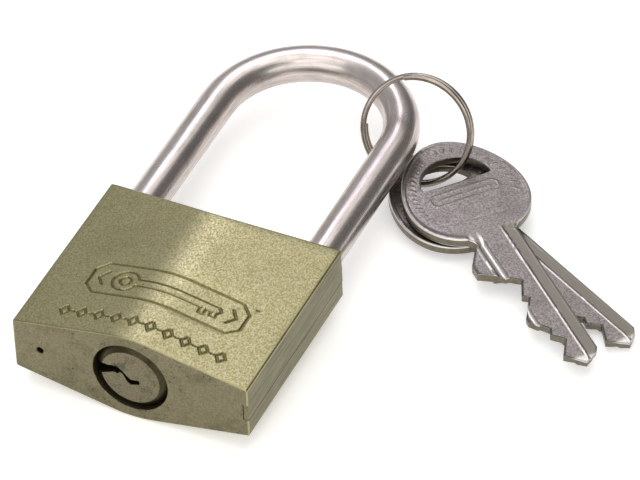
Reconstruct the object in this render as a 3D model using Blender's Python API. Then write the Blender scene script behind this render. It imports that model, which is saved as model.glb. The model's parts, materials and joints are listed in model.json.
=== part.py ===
"""Brass padlock with a long shackle, a split ring and two keys, lying on its back.

The origin is the centre of the body's top face, between the shackle's legs. +X runs across the
body towards the toe leg, +Y out of the top face towards the shackle's crown, and +Z out of the
front face. The mechanism is shown closed but released: the pins meet the shear line and the
latches are drawn in. All lengths are in metres.
"""

import math

import bmesh
import bpy
from mathutils import Matrix, Vector

# Body
BODY_WIDTH = 0.040
BODY_HEIGHT = 0.034
EDGE_THICKNESS = 0.0096
CREST_THICKNESS = 0.0166
CREST_HALF_SPAN = 0.0035
BODY_EDGE_BEVEL = 0.0003
OVERCUT = 0.0010

# Shackle
ROD_DIAMETER = 0.0060
LEG_WALL = 0.0015
LEG_CLEARANCE = 0.0002
STRAIGHT_LENGTH = 0.0290
TOE_DEPTH = 0.0120
TOE_BORE_SPARE = 0.0005
SHACKLE_TRAVEL = 0.0130
ROD_END_CHAMFER = 0.0004
HEEL_BORE_FLOOR = 0.0030
SHACKLE_SPRING_LENGTH = 0.0044
DRAIN_HOLE_DIAMETER = 0.0013

# Heel leg's retaining pin
HEEL_PIN_DIAMETER = 0.0020
HEEL_PIN_DEPTH = 0.0105
HEEL_SLOT_DEPTH = 0.0012

# Plug, pins and their cover
PLUG_DIAMETER = 0.0124
PLUG_CLEARANCE = 0.00015
PLUG_BEVEL_WIDTH = 0.00105
PLUG_BEVEL_DEPTH = 0.0009
PIN_DIAMETER = 0.0022
PIN_CLEARANCE = 0.0002
PIN_FIRST = 0.0058
PIN_LAST_MARGIN = 0.0025
PIN_FLOOR = 0.0006
PIN_TIPS = (0.0022, 0.0028, 0.0018, 0.0030, 0.0024)
DRIVER_LENGTH = 0.0045
PLUG_PIN_PLACE = 0.0028
PLUG_PIN_DIAMETER = 0.0016
PLUG_GROOVE_DEPTH = 0.0009
COVER_WIDTH = 0.0030
COVER_THICKNESS = 0.0008
COVER_GAP = 0.0001

# Keyway, as (x, z) points round the slot in the plug's own frame. It opens towards -X.
KEYWAY_POINTS = (
    (-0.0052, 0.0010),
    (-0.0022, 0.0014),
    (-0.0012, 0.0009),
    (-0.0001, -0.0003),
    (0.0014, -0.0002),
    (0.0014, -0.0011),
    (-0.0004, -0.0013),
    (-0.0014, -0.0002),
    (-0.0024, 0.0002),
    (-0.0050, -0.0008),
)

# Latches and the cam that draws them in
LATCH_DEPTH = 0.0065
LATCH_DIAMETER = 0.0048
LATCH_CLEARANCE = 0.00025
LATCH_TRAVEL = 0.0022
LATCH_INSET = 0.0003
LATCH_ARM_REACH = 0.0030
LATCH_SHOULDER = 0.0042
CAM_THICKNESS = 0.0034
CAM_DIAMETER = 0.0100
CAM_CLEARANCE = 0.0003
LUG_RADIUS = 0.0017
LUG_DIAMETER = 0.0010
LUG_START = math.radians(45)
LATCH_WEB = 0.00045
LATCH_SPRING_RISE = 0.0011

# Springs: outer diameter and wire
SHACKLE_SPRING = (0.0048, 0.0007, 3.5)
LATCH_SPRING = (0.0019, 0.00035, 6.5)
PIN_SPRING = (0.0020, 0.00032, 5.5)

# Split ring: it stands in the shackle's bend, leaning, with both keys on it
RING_RADIUS = 0.00886
RING_WIRE = 0.0010
RING_PITCH = 0.00108
RING_BEND_ANGLE = math.radians(17.5)
RING_OFF_ROD = -0.0005
RING_RISE = 0.0007
RING_OVER_STACK = 0.005215
RING_NORMAL = (0.1037, -0.8991, 0.4253)
RING_WIRE_START = math.radians(5)
RING_CROSSOVER = math.radians(75)

# Keys: u runs along the key from the hole's straight edge, w across it towards the spine.
# The hole is longer and wider in a thick key, because the ring's wire slants through it.
KEY_THICKNESS = 0.0016
BOW_CENTRE = 0.0020
BOW_HALF_LENGTH = 0.0116
BOW_HALF_WIDTH = 0.0100
BOW_TAPER = 0.17
BOW_NECK = math.radians(20)
HOLE_SLANT = 1.5
HOLE_HALF_WIDTH = 0.0035 + HOLE_SLANT * KEY_THICKNESS
HOLE_HEIGHT = 0.0032 + HOLE_SLANT * KEY_THICKNESS
KEY_BLADE = (
    (0.0137, 0.0044),
    (0.0421, 0.0044),
    (0.0432, 0.0037),
    (0.0447, 0.0014),
    (0.0421, -0.0014),
    (0.0389, 0.0004),
    (0.0372, -0.0013),
    (0.0360, -0.0008),
    (0.0330, -0.0030),
    (0.0321, -0.0030),
    (0.0284, -0.0008),
    (0.0277, -0.0017),
    (0.0244, -0.0002),
    (0.0220, -0.0032),
    (0.0204, -0.0059),
    (0.0184, -0.0059),
    (0.0152, -0.0039),
    (0.0144, -0.0029),
)
KEY_PITCH = math.radians(2)
KEY_PITCH_HEADING = math.radians(-35)
KEY_RISE = 0.00031
KEY_STACK_GAP = 0.00025
# Where the wire goes through each key's hole, as (u, w), its heading, and how many keys lie over it
KEY_PLACES = {
    "key_front": ((-0.00361, 0.00195), math.radians(-41.3), 0),
    "key_back": ((-0.00268, 0.00292), math.radians(-27.3), 1),
}

# Derived places
KEY_FACE_Y = -BODY_HEIGHT
FLOOR_Z = -CREST_THICKNESS / 2
ROD_RADIUS = ROD_DIAMETER / 2
LEG_X = BODY_WIDTH / 2 - LEG_WALL - ROD_RADIUS
LEG_BORE_RADIUS = ROD_RADIUS + LEG_CLEARANCE
PLUG_RADIUS = PLUG_DIAMETER / 2
PLUG_BORE_RADIUS = PLUG_RADIUS + PLUG_CLEARANCE
LATCH_Y = -LATCH_DEPTH
LATCH_RADIUS = LATCH_DIAMETER / 2
CHANNEL_RADIUS = LATCH_RADIUS + LATCH_CLEARANCE
CAM_BACK_Y = LATCH_Y - CHANNEL_RADIUS
PLUG_BACK_Y = CAM_BACK_Y - CAM_THICKNESS
PLUG_FRONT_Y = KEY_FACE_Y + 0.0001
PIN_RADIUS = PIN_DIAMETER / 2
PIN_BORE_RADIUS = PIN_RADIUS + PIN_CLEARANCE
COVER_X = BODY_WIDTH / 2 - COVER_THICKNESS
HEEL_PIN_RADIUS = HEEL_PIN_DIAMETER / 2
HEEL_END_Y = KEY_FACE_Y + HEEL_BORE_FLOOR + SHACKLE_SPRING_LENGTH + 2 * CAM_CLEARANCE
BEND_CENTRE_Y = STRAIGHT_LENGTH
PIN_COUNT = len(PIN_TIPS)


def clear_scene():
    for obj in list(bpy.data.objects):
        bpy.data.objects.remove(obj, do_unlink=True)


def material(name, colour, roughness):
    """A metal with this base colour, made once for each name."""
    found = bpy.data.materials.get(name)
    if found:
        return found
    made = bpy.data.materials.new(name)
    made.use_nodes = True
    shader = made.node_tree.nodes["Principled BSDF"]
    shader.inputs["Base Color"].default_value = (*colour, 1.0)
    shader.inputs["Roughness"].default_value = roughness
    shader.inputs["Metallic"].default_value = 1.0
    return made


def sub_part(name, mesh_data, finish, origin=(0, 0, 0), smooth_below=None):
    """Add a bmesh, given in world places, as a named object whose origin is moved to origin."""
    bmesh.ops.recalc_face_normals(mesh_data, faces=mesh_data.faces)
    mesh_data.transform(Matrix.Translation(-Vector(origin)))
    mesh = bpy.data.meshes.new(name)
    mesh_data.to_mesh(mesh)
    mesh_data.free()
    obj = bpy.data.objects.new(name, mesh)
    obj.location = origin
    bpy.context.scene.collection.objects.link(obj)
    obj.data.materials.append(finish)
    if smooth_below:
        mesh.shade_smooth()
        mesh.set_sharp_from_angle(angle=smooth_below)
    return obj


def combine(target, name, helper_mesh, operation="DIFFERENCE", matrix=None):
    """Cut the shape from target, or join it, with a hidden helper and an exact Boolean."""
    helper = sub_part(name, helper_mesh, target.data.materials[0])
    if matrix:
        helper.matrix_world = matrix
    helper.hide_render = True
    helper.display_type = "WIRE"
    boolean = target.modifiers.new(name, "BOOLEAN")
    boolean.operation = operation
    boolean.solver = "EXACT"
    boolean.object = helper


def cylinder(start, end, radius, sides=24, end_radius=None, into=None):
    """A cylinder, or a cone with end_radius, between two points. It may join another bmesh."""
    start = Vector(start)
    end = Vector(end)
    along = end - start
    shape = into or bmesh.new()
    turned = Vector((0, 0, 1)).rotation_difference(along).to_matrix().to_4x4()
    bmesh.ops.create_cone(
        shape,
        cap_ends=True,
        segments=sides,
        radius1=radius,
        radius2=radius if end_radius is None else end_radius,
        depth=along.length,
        matrix=Matrix.Translation((start + end) / 2) @ turned,
    )
    return shape


def box(low, high):
    """A box between two corners."""
    shape = bmesh.new()
    low = Vector(low)
    high = Vector(high)
    size = Matrix.Diagonal((*(high - low), 1.0))
    bmesh.ops.create_cube(shape, size=1.0, matrix=Matrix.Translation((low + high) / 2) @ size)
    return shape


def prism(outline, place, start, end):
    """Extrude an outline of (a, b) pairs. place(a, b, t) gives the point at depth t."""
    shape = bmesh.new()
    near = [shape.verts.new(place(a, b, start)) for a, b in outline]
    far = [shape.verts.new(place(a, b, end)) for a, b in outline]
    shape.faces.new(near)
    shape.faces.new(reversed(far))
    for i in range(len(outline)):
        j = (i + 1) % len(outline)
        shape.faces.new((near[i], far[i], far[j], near[j]))
    return shape


def turned(profile, centre, axis, sides=24):
    """Turn a closed (radius, along) profile round an axis. A zero radius closes on the axis."""
    shape = bmesh.new()
    axis = Vector(axis).normalized()
    across = axis.orthogonal().normalized()
    up = axis.cross(across)
    rings = []
    for radius, along in profile:
        base = Vector(centre) + axis * along
        if radius < 1e-7:
            rings.append([shape.verts.new(base)] * sides)
            continue
        angles = [2 * math.pi * k / sides for k in range(sides)]
        points = [base + radius * (across * math.cos(t) + up * math.sin(t)) for t in angles]
        rings.append([shape.verts.new(point) for point in points])
    for ring, following in zip(rings, rings[1:] + rings[:1]):
        for k in range(sides):
            corners = [ring[k], ring[(k + 1) % sides], following[(k + 1) % sides], following[k]]
            unique = list(dict.fromkeys(corners))
            if len(unique) > 2:
                shape.faces.new(unique)
    return shape


def swept(stations, sides):
    """A closed tube through stations of (point, normal, binormal, radius)."""
    shape = bmesh.new()
    rings = []
    for point, normal, binormal, radius in stations:
        angles = [2 * math.pi * (k + 0.5) / sides for k in range(sides)]
        offsets = [normal * math.cos(t) + binormal * math.sin(t) for t in angles]
        rings.append([shape.verts.new(point + radius * offset) for offset in offsets])
    for ring, following in zip(rings, rings[1:]):
        for k in range(sides):
            j = (k + 1) % sides
            shape.faces.new((ring[k], ring[j], following[j], following[k]))
    shape.faces.new(reversed(rings[0]))
    shape.faces.new(rings[-1])
    return shape


def coil_spring(name, finish, start, axis, length, size, steps=10):
    """A compression spring of (outer diameter, wire, turns) from start along axis."""
    diameter, wire, turns = size
    axis = Vector(axis)
    across = axis.orthogonal().normalized()
    up = axis.cross(across)
    radius = (diameter - wire) / 2
    count = round(turns * steps)
    stations = []
    for k in range(count + 1):
        angle = 2 * math.pi * k / steps
        outward = across * math.cos(angle) + up * math.sin(angle)
        along = wire / 2 + (length - wire) * k / count
        stations.append((Vector(start) + axis * along + outward * radius, outward, axis, wire / 2))
    return sub_part(name, swept(stations, 5), finish, start, math.radians(80))


def body_section():
    """The roof-shaped section as (x, z): straight slopes that meet in a parabolic crest."""
    half = BODY_WIDTH / 2
    slope = (CREST_THICKNESS - EDGE_THICKNESS) / 2 / (half - CREST_HALF_SPAN / 2)
    top = []
    for share in (-1.0, -0.6, -0.2, 0.2, 0.6, 1.0):
        x = share * CREST_HALF_SPAN
        top.append((x, CREST_THICKNESS / 2 - slope * x * x / (2 * CREST_HALF_SPAN)))
    front = [(-half, EDGE_THICKNESS / 2), *top, (half, EDGE_THICKNESS / 2)]
    back = [(x, -z) for x, z in reversed(front)]
    return front + back


def pin_places():
    """The y of each pin chamber, evenly spaced along the plug."""
    first = KEY_FACE_Y + PIN_FIRST
    last = PLUG_BACK_Y - PIN_LAST_MARGIN
    return [first + (last - first) * k / (PIN_COUNT - 1) for k in range(PIN_COUNT)]


def add_body(finish):
    shape = prism(body_section(), lambda x, z, y: (x, y, z), KEY_FACE_Y, 0)
    body = sub_part("lock_body", shape, finish)
    bevel = body.modifiers.new("edge_bevel", "BEVEL")
    bevel.width = BODY_EDGE_BEVEL
    bevel.segments = 1
    bevel.limit_method = "ANGLE"
    bevel.angle_limit = math.radians(30)
    side = EDGE_THICKNESS / 2
    rise = CREST_THICKNESS / 2 - side + OVERCUT
    wedge = [(OVERCUT, side - OVERCUT), (-rise, side + rise), (OVERCUT, side + rise)]
    for name, way in (("front_shoulder", 1), ("back_shoulder", -1)):
        outline = [(y, way * z) for y, z in wedge[::way]]
        combine(body, name, prism(outline, lambda y, z, x: (x, y, z), -BODY_WIDTH, BODY_WIDTH))
    combine(body, "plug_bore", cylinder(
        (0, KEY_FACE_Y - OVERCUT, 0), (0, PLUG_BACK_Y + CAM_CLEARANCE, 0), PLUG_BORE_RADIUS, 40))
    combine(body, "cam_chamber", cylinder(
        (0, PLUG_BACK_Y, 0), (0, CAM_BACK_Y + CAM_CLEARANCE, 0), CAM_DIAMETER / 2 + CAM_CLEARANCE, 32))
    combine(body, "lug_sweep", cylinder(
        (0, CAM_BACK_Y, 0), (0, LATCH_Y, 0), LUG_RADIUS + LUG_DIAMETER / 2 + CAM_CLEARANCE, 24))
    combine(body, "latch_channel", cylinder(
        (-LEG_X, LATCH_Y, 0), (LEG_X, LATCH_Y, 0), CHANNEL_RADIUS, 24))
    combine(body, "heel_bore", cylinder(
        (-LEG_X, OVERCUT, 0), (-LEG_X, KEY_FACE_Y + HEEL_BORE_FLOOR, 0), LEG_BORE_RADIUS, 28))
    combine(body, "toe_bore", cylinder(
        (LEG_X, OVERCUT, 0), (LEG_X, -TOE_DEPTH - TOE_BORE_SPARE, 0), LEG_BORE_RADIUS, 28))
    combine(body, "drain_hole", cylinder(
        (-LEG_X, KEY_FACE_Y - OVERCUT, 0), (-LEG_X, KEY_FACE_Y + HEEL_BORE_FLOOR + OVERCUT, 0),
        DRAIN_HOLE_DIAMETER / 2, 12))
    combine(body, "heel_pin_hole", cylinder(
        (-BODY_WIDTH / 2 - OVERCUT, -HEEL_PIN_DEPTH, 0), (-LEG_X, -HEEL_PIN_DEPTH, 0),
        HEEL_PIN_RADIUS + PIN_CLEARANCE, 14))
    for number, y in enumerate(pin_places(), 1):
        chamber = cylinder((0, y, 0), (BODY_WIDTH / 2, y, 0), PIN_BORE_RADIUS, 14)
        combine(body, f"pin_chamber_{number}", chamber)
    plug_pin_y = KEY_FACE_Y + PLUG_PIN_PLACE
    combine(body, "plug_pin_hole", cylinder(
        (PLUG_RADIUS / 2, plug_pin_y, 0), (BODY_WIDTH / 2, plug_pin_y, 0),
        PLUG_PIN_DIAMETER / 2 + PIN_CLEARANCE, 14))
    combine(body, "cover_slot", box(
        (COVER_X - COVER_GAP, KEY_FACE_Y - OVERCUT, -COVER_WIDTH / 2 - COVER_GAP),
        (BODY_WIDTH / 2 + OVERCUT, OVERCUT, COVER_WIDTH / 2 + COVER_GAP)))
    body.data.shade_smooth()
    body.data.set_sharp_from_angle(angle=math.radians(20))


def add_cover(finish):
    shape = box(
        (COVER_X, KEY_FACE_Y + COVER_GAP, -COVER_WIDTH / 2),
        (BODY_WIDTH / 2, -COVER_GAP, COVER_WIDTH / 2))
    sub_part("pin_chamber_cover", shape, finish, (COVER_X, KEY_FACE_Y / 2, 0))


def shackle_stations():
    """The rod from the heel leg's end, round the bend, to the toe leg's end."""
    up = Vector((0, 0, 1))
    side = Vector((1, 0, 0))
    slim = ROD_RADIUS - ROD_END_CHAMFER
    heel = [
        (Vector((-LEG_X, HEEL_END_Y, 0)), -side, up, slim),
        (Vector((-LEG_X, HEEL_END_Y + ROD_END_CHAMFER, 0)), -side, up, ROD_RADIUS),
    ]
    steps = 18
    bend = []
    for k in range(steps + 1):
        angle = math.pi - math.pi * k / steps
        outward = Vector((math.cos(angle), math.sin(angle), 0))
        bend.append((Vector((0, BEND_CENTRE_Y, 0)) + LEG_X * outward, outward, up, ROD_RADIUS))
    toe = [
        (Vector((LEG_X, -TOE_DEPTH + ROD_END_CHAMFER, 0)), side, up, ROD_RADIUS),
        (Vector((LEG_X, -TOE_DEPTH, 0)), side, up, slim),
    ]
    return heel + bend + toe


def add_shackle(finish):
    shackle = sub_part("shackle", swept(shackle_stations(), 20), finish, (-LEG_X, 0, 0), math.radians(40))
    notch_half = CHANNEL_RADIUS + CAM_CLEARANCE
    notch_depth = LATCH_TRAVEL + LATCH_CLEARANCE
    for name, side in (("heel_notch", -1), ("toe_notch", 1)):
        inner = side * (LEG_X - ROD_RADIUS)
        ends = sorted((inner + side * notch_depth, inner - side * ROD_RADIUS))
        combine(shackle, name, box(
            (ends[0], LATCH_Y - notch_half, -ROD_DIAMETER), (ends[1], LATCH_Y + notch_half, ROD_DIAMETER)))
    reach = HEEL_PIN_RADIUS + CAM_CLEARANCE
    slot_low = -HEEL_PIN_DEPTH - reach - SHACKLE_TRAVEL
    slot_floor = -LEG_X - ROD_RADIUS + HEEL_SLOT_DEPTH
    combine(shackle, "heel_slot", box(
        (slot_floor - ROD_DIAMETER, slot_low, -reach), (slot_floor, -HEEL_PIN_DEPTH + reach, reach)))
    inner = ROD_RADIUS - HEEL_SLOT_DEPTH
    outer = ROD_DIAMETER
    groove = [(inner, 0), (outer, 0), (outer, 2 * reach), (inner, 2 * reach)]
    combine(shackle, "swivel_groove", turned(groove, (-LEG_X, slot_low, 0), (0, 1, 0), 20))
    shackle.data.shade_smooth()


def add_shackle_fittings(steel, spring_steel):
    start = (-LEG_X, KEY_FACE_Y + HEEL_BORE_FLOOR + CAM_CLEARANCE, 0)
    coil_spring("shackle_spring", spring_steel, start, (0, 1, 0), SHACKLE_SPRING_LENGTH, SHACKLE_SPRING, 14)
    tip = -LEG_X - ROD_RADIUS + HEEL_SLOT_DEPTH - CAM_CLEARANCE
    outer = (-BODY_WIDTH / 2 + COVER_GAP, -HEEL_PIN_DEPTH, 0)
    pin = cylinder(outer, (tip, -HEEL_PIN_DEPTH, 0), HEEL_PIN_RADIUS, 14)
    sub_part("heel_retaining_pin", pin, steel, outer, math.radians(40))


def add_plug(brass):
    front = PLUG_FRONT_Y
    length = PLUG_BACK_Y - CAM_CLEARANCE - front
    profile = [
        (0, 0), (PLUG_RADIUS - PLUG_BEVEL_WIDTH, 0), (PLUG_RADIUS, PLUG_BEVEL_DEPTH),
        (PLUG_RADIUS, length), (0, length)]
    shape = turned(profile, (0, front, 0), (0, 1, 0), 40)
    plug = sub_part("plug", shape, brass, (0, front, 0))
    mouth = -PLUG_RADIUS - OVERCUT
    outline = [(mouth, KEYWAY_POINTS[0][1]), *KEYWAY_POINTS, (mouth, KEYWAY_POINTS[-1][1])]
    slot = prism(outline, lambda x, z, y: (x, y, z), front - OVERCUT, front + length + OVERCUT)
    combine(plug, "keyway", slot)
    for number, y in enumerate(pin_places(), 1):
        combine(plug, f"plug_chamber_{number}", cylinder(
            (PIN_FLOOR, y, 0), (PLUG_DIAMETER, y, 0), PIN_BORE_RADIUS, 14))
    low = PLUG_PIN_PLACE - PIN_BORE_RADIUS
    high = PLUG_PIN_PLACE + PIN_BORE_RADIUS
    inner = PLUG_RADIUS - PLUG_GROOVE_DEPTH
    groove = [(inner, low), (PLUG_DIAMETER, low), (PLUG_DIAMETER, high), (inner, high)]
    combine(plug, "retaining_groove", turned(groove, (0, KEY_FACE_Y, 0), (0, 1, 0), 40))
    plug.data.shade_smooth()
    plug.data.set_sharp_from_angle(angle=math.radians(30))


def add_plug_cam(finish):
    """A disc that turns with the plug, with two lugs that draw the latches in."""
    base = (0, PLUG_BACK_Y, 0)
    disc_length = CAM_THICKNESS - 2 * CAM_CLEARANCE
    disc = cylinder(base, (0, PLUG_BACK_Y + disc_length, 0), CAM_DIAMETER / 2, 28)
    cam = sub_part("plug_cam", disc, finish, base, math.radians(40))
    for number, turn in enumerate((0, math.pi), 1):
        x = LUG_RADIUS * math.cos(LUG_START + turn)
        z = LUG_RADIUS * math.sin(LUG_START + turn)
        root = (x, PLUG_BACK_Y + disc_length / 2, z)
        tip = (x, LATCH_Y - LATCH_WEB, z)
        combine(cam, f"lug_{number}", cylinder(root, tip, LUG_DIAMETER / 2, 12), "UNION")


def add_latch(name, side, finish):
    """A round bolt whose half-width arm passes the centre, where a lug draws it in."""
    nose = side * (LEG_X - ROD_RADIUS - LATCH_INSET)
    tail = -side * LATCH_ARM_REACH
    latch = sub_part(
        name, cylinder((nose, LATCH_Y, 0), (tail, LATCH_Y, 0), LATCH_RADIUS, 20), finish,
        (nose, LATCH_Y, 0), math.radians(40))
    far = LATCH_DIAMETER
    low = LATCH_Y - far
    high = LATCH_Y + far
    gap = CAM_CLEARANCE / 2
    start, end = sorted((side * LATCH_SHOULDER, tail - side * OVERCUT))
    below, above = sorted((side * gap, -side * far))
    combine(latch, f"{name}_half", box((start, low, below), (end, high, above)))
    combine(latch, f"{name}_top", box((start, LATCH_Y, -far), (end, high, far)))
    drawn = LUG_RADIUS * math.cos(LUG_START)
    half = LUG_DIAMETER / 2
    near = -side * (drawn + half + gap)
    start, end = sorted((near, near + side * 2 * (drawn + half + gap)))
    below, above = sorted((side * (gap + LATCH_WEB), side * far))
    combine(latch, f"{name}_notch", box((start, low, below), (end, high, above)))


def add_latch_spring(finish):
    length = 2 * (LATCH_SHOULDER - CAM_CLEARANCE)
    start = (-length / 2, LATCH_Y + LATCH_SPRING_RISE, 0)
    coil_spring("latch_spring", finish, start, (1, 0, 0), length, LATCH_SPRING)


def add_pins(brass, steel, spring_steel):
    gap = PLUG_CLEARANCE
    for number, (y, tip) in enumerate(zip(pin_places(), PIN_TIPS), 1):
        end = PLUG_RADIUS - gap
        pin = cylinder((tip, y, 0), (end, y, 0), PIN_RADIUS, 14)
        sub_part(f"key_pin_{number}", pin, brass, (tip, y, 0), math.radians(40))
        start = PLUG_BORE_RADIUS + gap
        driver = cylinder((start, y, 0), (start + DRIVER_LENGTH, y, 0), PIN_RADIUS, 14)
        sub_part(f"driver_pin_{number}", driver, steel, (start, y, 0), math.radians(40))
        foot = start + DRIVER_LENGTH + CAM_CLEARANCE
        length = COVER_X - COVER_GAP - CAM_CLEARANCE - foot
        coil_spring(f"pin_spring_{number}", spring_steel, (foot, y, 0), (1, 0, 0), length, PIN_SPRING, 8)
    y = KEY_FACE_Y + PLUG_PIN_PLACE
    tip = PLUG_RADIUS - PLUG_GROOVE_DEPTH + CAM_CLEARANCE
    radius = PLUG_PIN_DIAMETER / 2
    pin = cylinder((tip, y, 0), (COVER_X - COVER_GAP, y, 0), radius, 14)
    sub_part("plug_retaining_pin", pin, steel, (tip, y, 0), math.radians(40))


def ring_frame():
    """The ring's axis, and its two in-plane directions: across, level, and down."""
    normal = Vector(RING_NORMAL).normalized()
    across = normal.cross(Vector((0, 0, 1))).normalized()
    return normal, across, normal.cross(across)


def ring_pivot():
    """The point of the rod's centreline, in the bend, that the ring swings about."""
    x = LEG_X * math.cos(RING_BEND_ANGLE)
    y = BEND_CENTRE_Y + LEG_X * math.sin(RING_BEND_ANGLE)
    return Vector((x, y, 0))


def key_height(covers):
    """Height of a key's middle at the wire: the stack hangs from just over the rod's underside."""
    depth = KEY_THICKNESS / 2 + covers * (KEY_THICKNESS + KEY_STACK_GAP)
    return KEY_RISE - ROD_RADIUS - depth


def ring_centre():
    """The ring stands beside the rod, at a set offset from its pivot and from the keys' middle."""
    pivot = ring_pivot()
    x = pivot.x + ROD_RADIUS + RING_OFF_ROD
    stack_middle = (key_height(0) + key_height(len(KEY_PLACES) - 1)) / 2
    return Vector((x, pivot.y + RING_RISE, stack_middle + RING_OVER_STACK))


def add_ring(finish):
    """A split ring: two flat turns joined by a crossover, with both ends beside it."""
    normal, across, down = ring_frame()
    centre = ring_centre()
    turn = 2 * math.pi - RING_CROSSOVER
    total = 2 * turn + RING_CROSSOVER
    count = round(math.degrees(total) / 10)
    stations = []
    for k in range(count + 1):
        travelled = total * k / count
        share = min(max((travelled - turn) / RING_CROSSOVER, 0), 1)
        level = RING_PITCH * (share * share * (3 - 2 * share) - 0.5)
        angle = RING_WIRE_START + travelled
        outward = across * math.cos(angle) + down * math.sin(angle)
        point = centre + RING_RADIUS * outward + level * normal
        stations.append((point, outward, normal, RING_WIRE / 2))
    sub_part("key_ring", swept(stations, 8), finish, ring_pivot(), math.radians(60))


def key_outline():
    """The bow is an egg, wider towards the blade, and the blade's points follow it."""
    bow = []
    count = 28
    for k in range(count + 1):
        angle = 2 * math.pi - BOW_NECK - (2 * math.pi - 2 * BOW_NECK) * k / count
        u = BOW_CENTRE + BOW_HALF_LENGTH * math.cos(angle)
        w = BOW_HALF_WIDTH * (1 + BOW_TAPER * math.cos(angle)) * math.sin(angle)
        bow.append((u, w))
    return bow + list(KEY_BLADE)


def hole_outline():
    """A half-moon: a straight edge across the key and a half ellipse towards the bow's end."""
    count = 14
    angles = [math.pi / 2 + math.pi * k / count for k in range(count + 1)]
    return [(HOLE_HEIGHT * math.cos(t), HOLE_HALF_WIDTH * math.sin(t)) for t in angles]


def key_matrix(heading, covers):
    """Where the key lies: on the ring's wire, at its heading, pitched down to the tip.

    The wire is at the key's height where down * sin(angle) is, and the keys hang on the side
    away from the rod.
    """
    _, across, down = ring_frame()
    centre = ring_centre()
    angle = math.asin((key_height(covers) - centre.z) / (RING_RADIUS * down.z))
    if across.x < 0:
        angle = math.pi - angle
    crossing = centre + RING_RADIUS * (across * math.cos(angle) + down * math.sin(angle))
    tilt_axis = Vector((-math.sin(KEY_PITCH_HEADING), math.cos(KEY_PITCH_HEADING), 0))
    tilt = Matrix.Rotation(KEY_PITCH, 4, tilt_axis)
    spin = Matrix.Rotation(heading, 4, "Z")
    return Matrix.Translation(crossing) @ tilt @ spin


def add_key(name, thread, heading, covers, finish):
    """A flat key whose origin is where the ring's wire goes through its hole."""
    pivot = Vector((*thread, 0))
    half = KEY_THICKNESS / 2
    key = sub_part(
        name,
        prism(key_outline(), lambda u, w, t: Vector((u, w, t)) - pivot, -half, half),
        finish)
    key.matrix_world = key_matrix(heading, covers)
    hole = prism(hole_outline(), lambda u, w, t: Vector((u, w, t)) - pivot, -KEY_THICKNESS, KEY_THICKNESS)
    combine(key, f"{name}_hole", hole, matrix=key.matrix_world)


def main():
    clear_scene()
    brass = material("satin_brass", (0.46, 0.41, 0.22), 0.42)
    plug_brass = material("plug_brass", (0.30, 0.27, 0.19), 0.45)
    steel = material("satin_steel", (0.52, 0.49, 0.47), 0.32)
    spring_steel = material("spring_steel", (0.40, 0.39, 0.38), 0.35)
    nickel = material("satin_nickel", (0.44, 0.41, 0.38), 0.40)
    add_body(brass)
    add_cover(brass)
    add_shackle(steel)
    add_shackle_fittings(steel, spring_steel)
    add_plug(plug_brass)
    add_plug_cam(steel)
    add_latch("heel_latch", -1, steel)
    add_latch("toe_latch", 1, steel)
    add_latch_spring(spring_steel)
    add_pins(plug_brass, steel, spring_steel)
    add_ring(spring_steel)
    for name, (thread, heading, covers) in KEY_PLACES.items():
        add_key(name, thread, heading, covers, nickel)


main()
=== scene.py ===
"""Looks of a solid brass padlock with two keys on a split ring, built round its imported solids.

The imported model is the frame. The body, shackle, plug, ring and keys get fine surfaces of their own,
worked out as grids of points, and the parts inside the lock keep their solids and get real finishes.
Lengths in this file are millimetres until they reach a mesh, a light or the camera.
"""

import json
import logging
import math
from collections.abc import Sequence
from dataclasses import dataclass, field
from enum import Enum

import bpy
import numpy as np
from mathutils import Matrix, Vector

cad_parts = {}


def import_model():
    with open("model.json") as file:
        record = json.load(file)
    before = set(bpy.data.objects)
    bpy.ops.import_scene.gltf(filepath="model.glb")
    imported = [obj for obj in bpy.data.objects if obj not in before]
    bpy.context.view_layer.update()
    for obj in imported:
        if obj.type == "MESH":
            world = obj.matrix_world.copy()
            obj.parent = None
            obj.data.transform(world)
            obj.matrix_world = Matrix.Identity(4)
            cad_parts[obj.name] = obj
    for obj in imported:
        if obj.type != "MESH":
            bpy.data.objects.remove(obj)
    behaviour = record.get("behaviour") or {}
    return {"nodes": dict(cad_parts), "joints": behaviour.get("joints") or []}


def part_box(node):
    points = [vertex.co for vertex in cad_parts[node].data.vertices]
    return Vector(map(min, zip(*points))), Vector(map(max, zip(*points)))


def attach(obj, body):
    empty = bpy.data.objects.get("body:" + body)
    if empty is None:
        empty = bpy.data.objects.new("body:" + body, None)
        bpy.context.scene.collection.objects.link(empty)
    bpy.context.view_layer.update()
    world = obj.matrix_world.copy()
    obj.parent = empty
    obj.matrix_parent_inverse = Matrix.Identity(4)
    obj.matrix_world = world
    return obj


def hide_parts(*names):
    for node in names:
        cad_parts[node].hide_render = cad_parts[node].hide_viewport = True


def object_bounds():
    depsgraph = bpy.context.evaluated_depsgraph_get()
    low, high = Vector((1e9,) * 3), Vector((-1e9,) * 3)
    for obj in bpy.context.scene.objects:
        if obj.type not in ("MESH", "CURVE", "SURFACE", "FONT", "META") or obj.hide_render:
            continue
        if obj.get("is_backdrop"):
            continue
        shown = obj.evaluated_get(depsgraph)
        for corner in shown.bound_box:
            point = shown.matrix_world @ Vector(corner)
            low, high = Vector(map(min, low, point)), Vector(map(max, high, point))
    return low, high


LOG = logging.getLogger("padlock")
MM = 0.001
KEY_FACE_Y = -34.0
LEG_X = 15.5
LATCH_Y = -6.5
PIN_BORE_RADIUS = 1.3


# ---------------------------------------------------------------- finishes


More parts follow.
